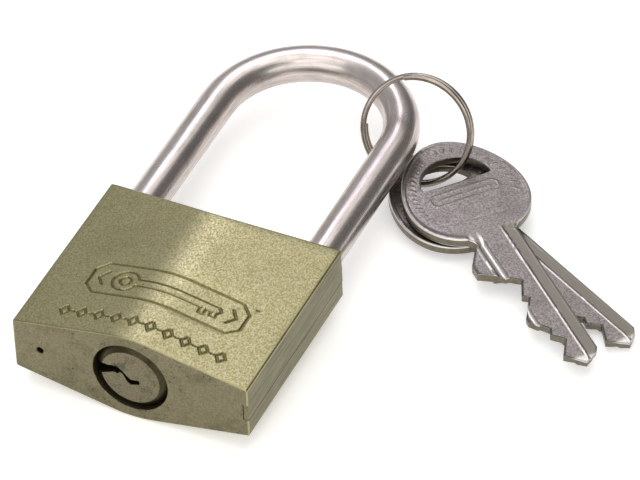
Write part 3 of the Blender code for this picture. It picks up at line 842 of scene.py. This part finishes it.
    def bores(self) -> list[Surface]:
        """Every hole in the body; the plug, leg and drain bores have a broken edge at their mouths."""
        bore = Zone.BORE.value
        up, down, right = (0, 1, 0), (0, -1, 0), (1, 0, 0)
        face = (0, KEY_FACE_Y, 0)
        plug = [(-1, self.plug_bore + 0.06), (0, self.plug_bore + 0.06), (0.1, self.plug_bore),
                (21.75, self.plug_bore), (21.75, 5.3), (24.8, 5.3), (24.8, 2.5), (27.5, 2.5)]
        leg = [(-1, self.leg_mouth), (0, self.leg_mouth), (0.2, self.leg_bore)]
        drain = [(-1, 0.66), (0, 0.66), (0.12, self.drain_bore), (3.5, self.drain_bore)]
        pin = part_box("heel_retaining_pin")
        pin_radius = (pin[1].y - pin[0].y) / 2 / MM + 0.2
        heel_pin = [(0, pin_radius), (6, pin_radius)]
        found = [
            turned(plug, face, up, 96, bore),
            turned([*leg, (31, self.leg_bore)], (-LEG_X, 0, 0), down, 64, bore),
            turned([*leg, (13, self.leg_bore)], (LEG_X, 0, 0), down, 64, bore),
            turned(drain, (-LEG_X, KEY_FACE_Y, 0), up, 24, bore),
            turned([(0, self.latch_bore), (31, self.latch_bore)], (-LEG_X, LATCH_Y, 0), right, 32, bore),
            turned(heel_pin, (-21, middle_y("heel_retaining_pin"), 0), right, 24, bore),
        ]
        inner = self.half_width - self.slot_depth
        half = self.slot_half
        found.append(block((inner, KEY_FACE_Y - 1, -half), (self.half_width + 1, 1, half), bore))
        channels = [(f"driver_pin_{number}", PIN_BORE_RADIUS) for number in range(1, 6)]
        for name, radius in (*channels, ("plug_retaining_pin", self.retainer_bore)):
            found.append(turned([(0, radius), (16, radius)], (3.5, middle_y(name), 0), right, 20, bore))
        return found

    def build(self) -> list[bpy.types.Object]:
        """Make the body in place of its plain solid."""
        # Sides, ends and marks are painted darker as painted shade; the bores are painted dark as shade.
        finishes = [SANDED_BRASS, DRAWN_BRASS_AND_SHADE, FACED_BRASS_AND_SHADE, BROKEN_EDGE, BORE_PAINTED_SHADE, PRESSED_BRASS_AND_SHADE]
        body = self.surface().piece("brass_body", finishes)
        cut_into(body, self.bores(), finishes)
        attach(body, "body")
        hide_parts("lock_body")
        low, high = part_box("pin_chamber_cover")
        half = self.slot_half - 0.03
        strip = block((low.x / MM, KEY_FACE_Y + 0.02, -half), (high.x / MM - 0.01, -0.02, half))
        # The strip's ends take the darker end colour, with its painted shade.
        strip.finishes[:2] = [1, 1]
        cover = strip.piece("drawn_cover_strip", [DRAWN_BRASS_AND_SHADE, FACED_BRASS_AND_SHADE])
        edges = cover.modifiers.new("broken_edges", "BEVEL")
        edges.width = 0.05 * MM
        edges.segments = 2
        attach(cover, "body")
        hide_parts("pin_chamber_cover")
        return [body, cover]


@dataclass
class Plug:
    """The turned plug: a flat disc with a broad chamfer at its edge, and the zigzag keyway through it."""

    radius: float = 6.2
    disc: float = 4.95
    chamfer_depth: float = 0.9
    inset: float = 0.06
    ring_start: float = 4.0
    upper: tuple = ((-6.4, 0.90), (-4.3, 1.48), (-3.86, 1.26), (-3.1, 1.54), (-2.18, 1.5), (-1.29, 0.91),
                    (-0.68, 0.19), (0, -0.4), (1.46, -0.2))
    lower: tuple = ((-6.4, -1.3), (-5.67, -1.02), (-2.79, 0.24), (-2.18, 0.09), (-1.74, 0.6), (-1.29, 0.3),
                    (-0.68, -0.93), (-0.07, -1.5), (1.5, -0.95))

    def sunk(self, radius: np.ndarray) -> np.ndarray:
        """How deep the face lies at a radius: 0 over the disc, then a straight chamfer to the edge."""
        return self.chamfer_depth * np.clip((radius - self.disc) / (self.radius - self.disc), 0, 1)

    def edge_angle(self, chain: tuple, radius: np.ndarray) -> np.ndarray:
        """Angle where a keyway chain crosses a circle: z = chain(x) and x = -sqrt(r^2 - z^2), repeated."""
        xs, zs = np.array(chain).T
        x = -radius
        for _ in range(8):
            z = np.interp(x, xs, zs)
            x = -np.sqrt(radius * radius - z * z)
        return np.arctan2(z, x)

    def along(self, chain: np.ndarray, count: int) -> np.ndarray:
        """Points evenly spaced along an open line, which keeps its corners near enough."""
        step = np.linalg.norm(np.diff(chain, axis=0), axis=1)
        travelled = np.concatenate([[0], np.cumsum(step)])
        places = np.linspace(0, travelled[-1], count)
        return np.stack([np.interp(places, travelled, chain[:, k]) for k in (0, 1)], axis=1)

    def face(self) -> Surface:
        """The front: rings cut by the keyway outside, and lines from the keyway to the first ring inside."""
        count = 240
        share = np.linspace(0, 1, count)
        rings = np.array([self.ring_start, 4.4, 4.7, 4.9, 4.95, 5.0, 5.2, 5.45, 5.7, 5.9, 6.12, self.radius])
        top = self.edge_angle(self.upper, rings)
        bottom = self.edge_angle(self.lower, rings)
        angle = top[:, None] + (bottom - top)[:, None] * share[None]
        x, z = rings[:, None] * np.cos(angle), rings[:, None] * np.sin(angle)
        deep = self.sunk(np.broadcast_to(rings[:, None], x.shape))
        outer = np.stack([x, self.inset + KEY_FACE_Y + deep, z], axis=2)
        first = outer[0][:, [0, 2]]
        chain = [p for p in self.upper if np.hypot(*p) < self.ring_start and p[0] < 1.47]
        back = [p for p in self.lower if np.hypot(*p) < self.ring_start]
        slot = self.along(np.array([first[0], *chain, *back[::-1], first[-1]]), count)
        blend = np.linspace(0, 1, 16)[:, None, None]
        flat = slot[None] * (1 - blend) + first[None] * blend
        level = np.full(flat.shape[:2], self.inset + KEY_FACE_Y)
        inner = np.stack([flat[..., 0], level, flat[..., 1]], axis=2)
        cone = sheet_of(outer, 0)
        # Bands beyond the disc are painted dark, as painted shade on the chamfer.
        shaded_chamfer = (rings[:-1] + rings[1:]) / 2 > self.disc
        cone.finishes = np.repeat(np.where(shaded_chamfer, 2, 0), count - 1).tolist()
        return sheet_of(inner, 0).joined(cone).welded()

    def build(self) -> list[bpy.types.Object]:
        """Make the plug in place of its plain solid."""
        sheet = self.face()
        under = sheet.points.copy()
        under[:, 1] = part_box("plug")[1].y / MM
        # The plug's side walls and its chamfer are painted dark, as painted shade.
        finishes = [TURNED_BRASS, BORE_PAINTED_SHADE, CHAMFER_PAINTED_SHADE]
        plug = thickened(sheet, under, 1).piece("turned_plug", finishes)
        chamber = [(0, PIN_BORE_RADIUS), (7, PIN_BORE_RADIUS)]
        mouths = [(0.5, middle_y(f"key_pin_{number}"), 0) for number in range(1, 6)]
        cut_into(plug, [turned(chamber, mouth, (1, 0, 0), 20, 1) for mouth in mouths], finishes)
        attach(plug, "plug")
        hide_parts("plug")
        return [plug]


@dataclass
class Shackle:
    """A round rod bent to a half circle, with the latch notches, the guide slot and the swivel neck."""

    radius: float = 3.0
    bend_y: float = 28.96
    ease: float = 3.0
    chamfer: float = 0.5
    notch_half: float = 2.95
    notch_depth: float = 2.45
    pin_y: float = -10.5
    pin_reach: float = 1.3
    slot_depth: float = 1.2
    travel: float = 13.0
    toe_end: float = -12.0
    sides: int = 72

    def bend(self) -> tuple[np.ndarray, np.ndarray]:
        """The bend, whose curvature rises smoothly from 0 to 1 / R and falls back as smoothly.

        The heading is the integral of the curvature, and the place is the integral of the heading.

        Returns:
            Its centres and its outward directions.
        """
        length = math.pi * LEG_X
        travelled = np.linspace(-self.ease, length + self.ease, 2401)
        rising = ramp(travelled, -self.ease, self.ease)
        curve = rising * (1 - ramp(travelled, length - self.ease, length + self.ease))
        step = travelled[1] - travelled[0]
        heading = np.concatenate([[0], np.cumsum((curve[1:] + curve[:-1]) / 2 * step)])
        heading *= math.pi / heading[-1]
        moves = np.stack([np.sin(heading), np.cos(heading)], axis=1)
        place = np.vstack([[0, 0], np.cumsum((moves[1:] + moves[:-1]) / 2 * step, axis=0)])
        share = np.linspace(0, 1, len(place))
        x = place[:, 0] * 2 * LEG_X / place[-1, 0] - LEG_X
        y = place[:, 1] - place[-1, 1] * share + self.bend_y - self.ease
        every = slice(None, None, 20)
        nothing = np.zeros_like(x)
        centres = np.stack([x, y, nothing], axis=1)[every]
        return centres, np.stack([-np.cos(heading), np.sin(heading), nothing], axis=1)[every]

    def path(self) -> tuple[np.ndarray, np.ndarray, np.ndarray]:
        """Stations from the heel's end to the toe's end.

        Returns:
            Centres, outward directions, and the leg each is on: -1 heel, 0 bend, 1 toe.
        """
        notch = [LATCH_Y - self.notch_half, LATCH_Y + self.notch_half]
        slot = [self.pin_y + self.pin_reach, self.pin_y - self.pin_reach - self.travel,
                self.pin_y + self.pin_reach - self.travel]
        bend, out = self.bend()
        centres, outward = {0: bend}, {0: out}
        for side, low, cuts in ((-1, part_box("shackle")[0].y / MM, notch + slot), (1, self.toe_end, notch)):
            places = [low, low + 0.1, low + self.chamfer, *np.arange(low + 1, self.bend_y, 1.0)]
            places += [cut + step for cut in cuts for step in (-0.02, 0.02)]
            leg = np.unique(places)[::-side]
            leg = leg[leg < self.bend_y - self.ease - 0.4]
            centres[side] = np.stack([np.full(len(leg), side * LEG_X), leg, np.zeros(len(leg))], axis=1)
            outward[side] = np.tile((float(side), 0, 0), (len(leg), 1))
        order = (-1, 0, 1)
        legs = np.concatenate([np.full(len(centres[side]), side) for side in order])
        return np.vstack([centres[k] for k in order]), np.vstack([outward[k] for k in order]), legs

    def radii(self, centres: np.ndarray, legs: np.ndarray) -> np.ndarray:
        """Distance from the axis to the skin: a flat at distance d cuts it to d / cos(angle from the flat).

        Args:
            centres: The stations' centres.
            legs: The leg each is on.

        Returns:
            A row of distances for each station.
        """
        angle = 2 * np.pi * np.arange(self.sides) / self.sides
        y = centres[:, 1][:, None]
        leg = legs[:, None]
        ends = np.where(leg < 0, y - centres[0, 1], np.where(leg > 0, y - centres[-1, 1], 99.0))
        plain = self.radius - np.clip(self.chamfer - ends, 0, self.chamfer) * np.ones_like(angle)[None]
        inward = -np.cos(angle)[None]
        flat = (self.radius - self.notch_depth) / np.maximum(inward, 1e-3)
        in_notch = (np.abs(y - LATCH_Y) < self.notch_half) & (leg != 0)
        found = np.where(in_notch & (inward > 0), np.minimum(plain, flat), plain)
        outward = np.cos(angle)[None]
        floor = (self.radius - self.slot_depth) / np.maximum(outward, 1e-3)
        narrow = np.abs(self.radius * np.sin(angle)[None]) < self.pin_reach
        top, bottom = self.pin_y + self.pin_reach, self.pin_y - self.pin_reach - self.travel
        in_slot = (y < top) & (y > bottom) & (leg < 0) & narrow & (outward > 0)
        found = np.where(in_slot, np.minimum(found, floor), found)
        in_neck = (y < top - self.travel) & (y > bottom) & (leg < 0)
        return np.where(in_neck, np.minimum(found, self.radius - self.slot_depth), found)

    def build(self) -> list[bpy.types.Object]:
        """Make the shackle in place of its plain solid."""
        centres, outward, legs = self.path()
        rod = swept(centres, outward, np.array([0, 0, 1.0]), self.radii(centres, legs))
        piece = rod.piece("plated_shackle", [PLATED_STEEL], sharp_deg=35)
        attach(piece, "shackle")
        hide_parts("shackle")
        return [piece]


@dataclass
class SplitRing:
    """Two flat turns of squared wire joined by a crossover."""

    radius: float = 8.86
    wire: float = 0.97
    pitch: float = 1.08
    normal: tuple = (0.1037, -0.8991, 0.4253)
    centre_from_pivot: tuple = (2.5, 0.7, 0.8)
    start_deg: float = 5.0
    crossover_deg: float = 75.0
    squareness: float = 2.7
    sides: int = 20

    def build(self, pivot: Sequence[float]) -> list[bpy.types.Object]:
        """Make the ring in place of its plain solid.

        Args:
            pivot: Where the ring swings about the shackle, in metres.

        Returns:
            The ring's pieces.
        """
        normal = np.array(self.normal) / np.linalg.norm(self.normal)
        across = np.cross(normal, (0, 0, 1))
        across /= np.linalg.norm(across)
        down = np.cross(normal, across)
        centre = np.array(pivot) / MM + self.centre_from_pivot
        cross = math.radians(self.crossover_deg)
        turn = 2 * math.pi - cross
        total = 2 * turn + cross
        close = np.array([0, 0.006, 0.012])
        travelled = np.concatenate([close, np.linspace(0.03, total - 0.03, 300), total - close[::-1]])
        level = self.pitch * (ramp(travelled, turn, turn + cross) - 0.5)
        angle = math.radians(self.start_deg) + travelled
        outward = np.cos(angle)[:, None] * across + np.sin(angle)[:, None] * down
        centres = centre + self.radius * outward + level[:, None] * normal
        around = 2 * np.pi * np.arange(self.sides) / self.sides
        n = self.squareness
        square = (np.abs(np.cos(around)) ** n + np.abs(np.sin(around)) ** n) ** (-1 / n)
        from_end = np.minimum(travelled, total - travelled) * self.radius
        size = 0.5 * self.wire * (0.98 - 0.16 * (1 - ramp(from_end, 0, 0.12)))
        radii = np.minimum(size[:, None] * square[None], 0.53 * self.wire)
        piece = swept(centres, outward, -normal, radii).piece("split_ring", [NICKELLED_WIRE])
        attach(piece, "ring")
        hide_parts("key_ring")
        return [piece]


@dataclass
class Key:
    """A flat key: an egg-shaped bow with a raised rim, and a milled and cut blade.

    u runs from the hole's straight edge to the tip, w across towards the spine, and both faces are
    heights over the key's middle plane.
    """

    name: str
    thread: tuple[float, float]
    heading_deg: float
    half: float = 0.8
    pitch_deg: float = 2.0
    pitch_heading_deg: float = -35.0
    bow_centre: float = 2.0
    bow_half_length: float = 11.6
    bow_half_width: float = 10.0
    bow_taper: float = 0.17
    neck_deg: float = 20.0
    hole_centre: float = -2.5
    hole_height: float = 5.6
    hole_half_width: float = 5.9
    edge_round: float = 0.22
    rim_width: float = 0.75
    field_depth: float = 0.10
    panel_at: tuple[float, float] = (2.9, 0.0)
    line_depth: float = 0.05
    bow_end: float = 12.5
    spine: tuple = ((13.7, 4.4), (42.1, 4.4), (43.2, 3.7), (44.7, 1.4))
    cuts: tuple = ((14.4, -2.9), (15.2, -3.9), (18.4, -5.9), (20.4, -5.9), (22.0, -3.2), (24.4, -0.2),
                   (27.7, -1.7), (28.4, -0.8), (32.1, -3.0), (33.0, -3.0), (36.0, -0.8), (37.2, -1.3),
                   (38.9, 0.4), (42.1, -1.4), (44.7, 1.4))

    def egg(self, angle: np.ndarray) -> np.ndarray:
        """The bow's outline: u = c + a cos t, w = b (1 + k cos t) sin t."""
        u = self.bow_centre + self.bow_half_length * np.cos(angle)
        w = self.bow_half_width * (1 + self.bow_taper * np.cos(angle)) * np.sin(angle)
        return np.stack([u, w], axis=-1)

    def hole_radius(self, angle: np.ndarray) -> np.ndarray:
        """The hole seen from its centre: the straight edge and the half ellipse, blended where they meet.

        A ray meets the straight edge at c / cos t, and the ellipse where a r^2 + 2 b r + d = 0. The two
        are joined as (r1^-p + r2^-p)^(-1/p), which rounds the corners.
        """
        c, h, w = self.hole_centre, self.hole_height, self.hole_half_width
        straight = np.where(np.cos(angle) > 0.02, -c / np.maximum(np.cos(angle), 0.02), 1e3)
        a = (np.cos(angle) / h) ** 2 + (np.sin(angle) / w) ** 2
        b = c * np.cos(angle) / h**2
        d = (c / h) ** 2 - 1
        ellipse = (-b + np.sqrt(b * b - a * d)) / a
        power = 14.0
        return (straight**-power + ellipse**-power) ** (-1 / power)

    def grooves(self, u: np.ndarray, w: np.ndarray, lower_face: bool) -> np.ndarray:
        """Depth of the milled grooves, which run out where the cutter lifts: low w, high w, depth, start."""
        if lower_face:
            bands = ((-1.9, 0.1, 0.36, 12.0), (2.7, 4.8, 0.34, 13.0))
        else:
            bands = ((2.25, 4.8, 0.40, 11.6), (-3.15, -1.85, 0.40, 13.2))
        depth = np.zeros_like(u)
        for low, high, deep, start in bands:
            inside = np.clip((w - low) / 0.30 + 0.5, 0, 1) * np.clip((high - w) / 0.30 + 0.5, 0, 1)
            depth = np.maximum(depth, deep * inside * ramp(u, start, start + 1.4))
        return depth

    def scuff_and_light_shares(
        self, u: np.ndarray, w: np.ndarray, edge: np.ndarray, lower_face: bool
    ) -> tuple[np.ndarray, np.ndarray]:
        """Shares, from 0 to 1, of near-white wear and highlight and of milled floor at each point.

        Args:
            u: Place along the key.
            w: Place across it.
            edge: Distance from the outline.
            lower_face: Whether this is the underside.

        Returns:
            The near-white share, for wear and highlight, and the milled share, for duller metal and shade.
        """
        lips = (-1.9, 0.1, 2.7) if lower_face else (2.25, -3.15, -1.85)
        lip = np.min([np.abs(w - place + 0.2) for place in lips], axis=0)
        # Milled floors are painted darker: duller metal and painted shade in the grooves.
        milled = np.clip(self.grooves(u, w, lower_face) / 0.3, 0, 1)
        # Groove lips are painted bright: wear and painted highlight.
        scuffed_and_highlit = 0.9 * (1 - ramp(lip, 0.14, 0.34)) * ramp(u, 11.4, 14.0)
        # The rim is painted brighter towards negative w, along one side only: painted highlight on top of
        # wear.
        rim = (1 - ramp(edge, 0.10, 0.30)) * (0.35 + 0.45 * ramp(-w, 0.0, 4.0)) * (u < 13.4)
        # The tip is painted bright: painted highlight.
        tip = 0.55 * ramp(u, self.spine[-1][0] - 1.9, self.spine[-1][0] - 1.2)
        return np.clip(np.max([scuffed_and_highlit, rim, tip], axis=0), 0, 1), milled

    def ornament(self, u: np.ndarray, w: np.ndarray) -> np.ndarray:
        """Raised lines on the bow: a framed bar, ticks along the rim, and a faint line by the neck."""
        bars = [np.array([(0, low), (0, low + 3.8)]) for low in (-4.4, 0.6)]
        panel = [line + self.panel_at for line in (cut_corner_frame(2.5, 11.6, 0.7), *bars)]
        raised = self.line_depth * (1 - ramp(to_strokes(u, w, panel), 0.08, 0.26))
        centre = np.array([self.bow_centre, 0])
        ticks = []
        for t in np.radians([*68 + 10.4 * np.arange(12), *196 + 6.2 * np.arange(2, 18)]):
            outer, inner = self.egg(t) - centre, self.egg(t + math.radians(2)) - centre
            ticks.append(np.array([centre + outer * 0.84, centre + inner * 0.775]))
        raised += self.line_depth * (1 - ramp(to_strokes(u, w, ticks), 0.06, 0.22))
        neck_line = np.array([(8.4, -6.2), (9.2, 5.6)])
        return raised - 0.035 * (1 - ramp(to_strokes(u, w, [neck_line]), 0.05, 0.3))

    def bow(self) -> tuple[np.ndarray, np.ndarray, np.ndarray]:
        """The bow as lines from the hole's edge to its outline.

        Returns:
            The grid of (u, w), each point's drop below the plain face, and its distance from the outline.
        """
        neck = self.egg(np.radians([-self.neck_deg, self.neck_deg]))
        chord = np.linspace(neck[0], neck[1], 49)
        around = self.egg(np.radians(np.linspace(self.neck_deg, 360 - self.neck_deg, 380)))
        outline = np.vstack([chord[:-1], around])
        centre = np.array([self.hole_centre, 0])
        offset = outline - centre
        length = np.linalg.norm(offset, axis=1)
        angle = np.arctan2(offset[:, 1], offset[:, 0])
        inner = centre + offset / length[:, None] * self.hole_radius(angle)[:, None]
        span = np.linalg.norm(outline - inner, axis=1)
        close = np.array([0, 0.02, 0.06, 0.11, 0.17, 0.24, 0.36])
        near = close / span.min()
        share = near[-1] + (1 - 2 * near[-1]) * np.linspace(0, 1, 48)
        lines = np.concatenate([near[:-1], share, 1 - near[-2::-1]])[:, None]
        from_hole = lines * span[None]
        from_rim = (1 - lines) * span[None]
        grid = inner[None] * (1 - lines[..., None]) + outline[None] * lines[..., None]
        in_chord = np.arange(len(outline)) < len(chord)
        from_rim = np.where(in_chord[None], 9.0, from_rim)
        field_ = self.field_depth * ramp(from_rim, self.rim_width - 0.16, self.rim_width + 0.14)
        drop = rounding(from_hole, self.edge_round) + rounding(from_rim, self.edge_round) + field_
        return grid, drop, from_rim

    def blade(self) -> tuple[np.ndarray, np.ndarray, np.ndarray]:
        """The blade as lines across it from the cuts to the spine.

        Returns:
            The grid of (u, w), each point's drop below the plain face, and its distance from the outline.
        """
        neck = self.egg(np.radians([-self.neck_deg, self.neck_deg]))
        high = np.array([neck[1], *self.spine])
        low = np.array([neck[0], *self.cuts])
        tip = self.spine[-1][0]
        columns = np.concatenate([np.arange(neck[0, 0], tip, 0.2), high[:, 0], low[:, 0]])
        columns = np.unique(np.round(columns, 4))
        columns[0] = neck[0, 0]
        top = np.interp(columns, high[:, 0], high[:, 1])
        bottom = np.interp(columns, low[:, 0], low[:, 1])
        share = np.linspace(0, 1, 49)[None]
        u = np.repeat(columns[:, None], share.size, axis=1)
        w = bottom[:, None] + (top - bottom)[:, None] * share
        from_edge = np.minimum(w - bottom[:, None], top[:, None] - w)
        taper = 0.30 * ramp(u, tip - 2.6, tip)
        drop = rounding(from_edge, 0.12) + taper + self.field_depth * ramp(from_edge, 0.1, 0.4)
        return np.stack([u, w], axis=2), drop, from_edge

    def frame(self, pivot: Sequence[float]) -> np.ndarray:
        """Where the key lies: turned to its heading, pitched, and moved so that the ring's wire threads it.

        Args:
            pivot: Where the wire goes through the key's middle plane, in metres.

        Returns:
            A 4 by 4 matrix from the key's own millimetres to the lock's.
        """
        heading = math.radians(self.pitch_heading_deg)
        axis = Vector((-math.sin(heading), math.cos(heading), 0))
        tilt = Matrix.Rotation(math.radians(self.pitch_deg), 4, axis)
        spin = Matrix.Rotation(math.radians(self.heading_deg), 4, "Z")
        place = Matrix.Translation(Vector(pivot) / MM)
        return np.array(place @ tilt @ spin @ Matrix.Translation((-self.thread[0], -self.thread[1], 0)))

    def build(self, pivot: Sequence[float]) -> list[bpy.types.Object]:
        """Make the key in place of its plain solid.

        Args:
            pivot: Where the ring's wire goes through it, in metres.

        Returns:
            The key's pieces.
        """
        grids, drops, edges = zip(self.bow(), self.blade())
        sheets = [sheet_of(np.dstack([grid, np.zeros(grid.shape[:2])])) for grid in grids]
        flat = sheets[0].joined(sheets[1])
        keys = np.round(flat.points / 1e-3).astype(np.int64)
        first = np.unique(keys, axis=0, return_index=True)[1]
        drop, edge = (np.concatenate([part.ravel() for part in parts])[first] for parts in (drops, edges))
        flat = flat.welded(1e-3)
        u, w = flat.points[:, 0], flat.points[:, 1]
        decor = self.ornament(u, w) * (u < self.bow_end)
        upper, lower = (self.half - drop + decor - self.grooves(u, w, side) for side in (False, True))
        upper, lower = np.minimum(upper, self.half), np.minimum(lower, self.half)
        top = Surface(np.stack([u, w, upper], axis=1), flat.faces, flat.finishes)
        a, b, c = top.points[top.faces[0][:3]]
        if np.cross(b - a, c - a)[2] < 0:
            top.faces = [face[::-1] for face in top.faces]
        solid = thickened(top, np.stack([u, w, -lower], axis=1), 1)
        # Shares that paint the key: near white for wear and highlight, darker on milled floors for duller
        # metal and shade.
        scuff_and_light = [self.scuff_and_light_shares(u, w, edge, side) for side in (False, True)]
        place = self.frame(pivot)
        solid.points = solid.points @ place[:3, :3].T + place[:3, 3]
        piece = solid.piece(f"struck_{self.name}", [STRUCK_NICKEL, SHEARED_NICKEL], sharp_deg=38)
        for name, pair in zip(("scuffed_and_highlit", "milled"), zip(*scuff_and_light)):
            layer = piece.data.attributes.new(name, "FLOAT", "POINT")
            layer.data.foreach_set("value", np.concatenate(pair).astype(np.float32))
        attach(piece, self.name)
        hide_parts(self.name)
        return [piece]


# ---------------------------------------------------------------- the rest


def dress_inside(nodes: dict) -> int:
    """Give every solid that still shows the finish that the real part has.

    Args:
        nodes: The frame's nodes.

    Returns:
        How many were dressed.
    """
    dressed = 0
    for name, obj in nodes.items():
        if obj.hide_render:
            continue
        if "spring" in name:
            finish = MUSIC_WIRE
        elif name.startswith("key_pin"):
            finish = TURNED_BRASS
        else:
            finish = TUMBLED_STEEL
        obj.data.materials.clear()
        obj.data.materials.append(finish.material())
        dressed += 1
    return dressed


@dataclass
class Studio:
    """A pale floor, soft light and the camera."""

    floor_hex: str = "#F4F3F0"
    lens: float = 307.0
    camera_at: tuple = (296.57, -556.62, 578.69)
    right: tuple = (0.9056, 0.4230, -0.0320)
    up: tuple = (-0.2650, 0.6236, 0.7354)

    def floor(self, height: float) -> None:
        """Lay the floor.

        Args:
            height: The object's lowest point, in metres.
        """
        size = 1200.0
        corners = np.array([(-size, -size), (size, -size), (size, size), (-size, size)])
        points = np.column_stack([corners, np.full(4, height / MM)])
        paper = bpy.data.materials.new("pale_paper")
        paper.use_nodes = True
        tree = paper.node_tree
        shader = tree.nodes["Principled BSDF"]
        shader.inputs["Base Color"].default_value = linear(self.floor_hex)
        shader.inputs["Roughness"].default_value = 0.9
        shader.inputs["Emission Color"].default_value = linear("#FFFFFF")
        shader.inputs["Emission Strength"].default_value = 0.35
        mesh = bpy.data.meshes.new("floor")
        mesh.from_pydata((points * MM).tolist(), [], [(0, 1, 2, 3)])
        mesh.materials.append(paper)
        obj = bpy.data.objects.new("floor", mesh)
        bpy.context.scene.collection.objects.link(obj)
        obj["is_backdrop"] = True

    def lamp(
        self, name: str, at: Sequence[float], aim: Sequence[float], size: tuple, power: float, colour: str
    ) -> None:
        """Hang one soft box.

        Args:
            name: The lamp's name.
            at: Its place, in millimetres.
            aim: What it points at, in millimetres.
            size: Its width and height, in millimetres.
            power: Its power in watts.
            colour: Its colour.
        """
        light = bpy.data.lights.new(name, "AREA")
        light.shape = "RECTANGLE"
        light.size, light.size_y = size[0] * MM, size[1] * MM
        light.energy = power
        light.color = linear(colour)[:3]
        obj = bpy.data.objects.new(name, light)
        place = Vector(at) * MM
        obj.location = place
        obj.rotation_euler = (Vector(aim) * MM - place).to_track_quat("-Z", "Y").to_euler()
        obj.visible_camera = False
        bpy.context.scene.collection.objects.link(obj)

    def lights(self) -> None:
        """Hang the soft boxes, in a room whose right side is dark and whose left side is pale."""
        middle = (15, 0, 0)
        self.lamp("overhead_box", (10, 70, 620), (10, 70, 0), (560, 1040), 2.5, "#FFFCFA")
        self.lamp("crest_box", (-75, 165, 195), (4, -14, 8), (64, 120), 0.072, "#EEE8FF")
        self.lamp("front_box", (260, -560, 420), middle, (1400, 500), 3.4, "#FFFFFF")
        self.lamp("cone_box", (190, -560, -2), (0, -34, 0), (200, 80), 0.10, "#FFFFFF")
        world = bpy.data.worlds.new("room")
        bpy.context.scene.world = world
        world.use_nodes = True
        tree = world.node_tree
        place = add_node(tree, "ShaderNodeTexCoord").outputs["Generated"]
        inputs = {0: place, 1: (-0.9, 0.0, 1.0)}
        facing = add_node(tree, "ShaderNodeVectorMath", inputs, operation="DOT_PRODUCT").outputs["Value"]
        inputs = {"Value": facing, "From Min": 0.1, "From Max": 0.9, "To Min": 0.2, "To Max": 0.58}
        glow = add_node(tree, "ShaderNodeMapRange", inputs, interpolation_type="SMOOTHSTEP").outputs["Result"]
        background = tree.nodes["Background"]
        background.inputs["Color"].default_value = linear("#F6F7F8")
        tree.links.new(glow, background.inputs["Strength"])

    def camera(self) -> None:
        """Place the camera: far off, with a long lens."""
        right, up = Vector(self.right).normalized(), Vector(self.up).normalized()
        back = right.cross(up).normalized()
        up = back.cross(right)
        data = bpy.data.cameras.new("camera")
        data.sensor_width = 36.0
        data.lens = self.lens
        data.clip_start, data.clip_end = 0.05, 10.0
        obj = bpy.data.objects.new("camera", data)
        turn = Matrix((right, up, back)).transposed().to_4x4()
        obj.matrix_world = Matrix.Translation(Vector(self.camera_at) * MM) @ turn
        bpy.context.scene.collection.objects.link(obj)
        bpy.context.scene.camera = obj
        bpy.context.scene.view_settings.view_transform = "Standard"


def corners_of(box: tuple) -> list[list[float]]:
    """A box's two corners as plain lists."""
    return [[float(value) for value in corner] for corner in box]


def main() -> None:
    """Build the lock, its ring and its keys, and the studio round them."""
    logging.basicConfig(level=logging.INFO, format="%(message)s")
    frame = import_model()
    cad_box = corners_of(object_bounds())
    joints = {joint["name"]: joint for joint in frame["joints"]}
    studio = Studio()
    studio.camera()
    pieces = []
    pieces += LockBody().build()
    pieces += Plug().build()
    pieces += Shackle().build()
    pieces += SplitRing().build(joints["ring_swing"]["pos_m"])
    pieces += Key("key_front", (-3.61, 1.95), -41.3).build(joints["key_front_fan"]["pos_m"])
    pieces += Key("key_back", (-2.68, 2.92), -27.3).build(joints["key_back_fan"]["pos_m"])
    for piece in pieces:
        LOG.info("%s: %d faces", piece.name, len(piece.data.polygons))
    LOG.info("%d solids inside keep their shape", dress_inside(frame["nodes"]))
    studio.floor(cad_box[0][2] - 0.0001)
    studio.lights()


if __name__ == "__main__":
    main()
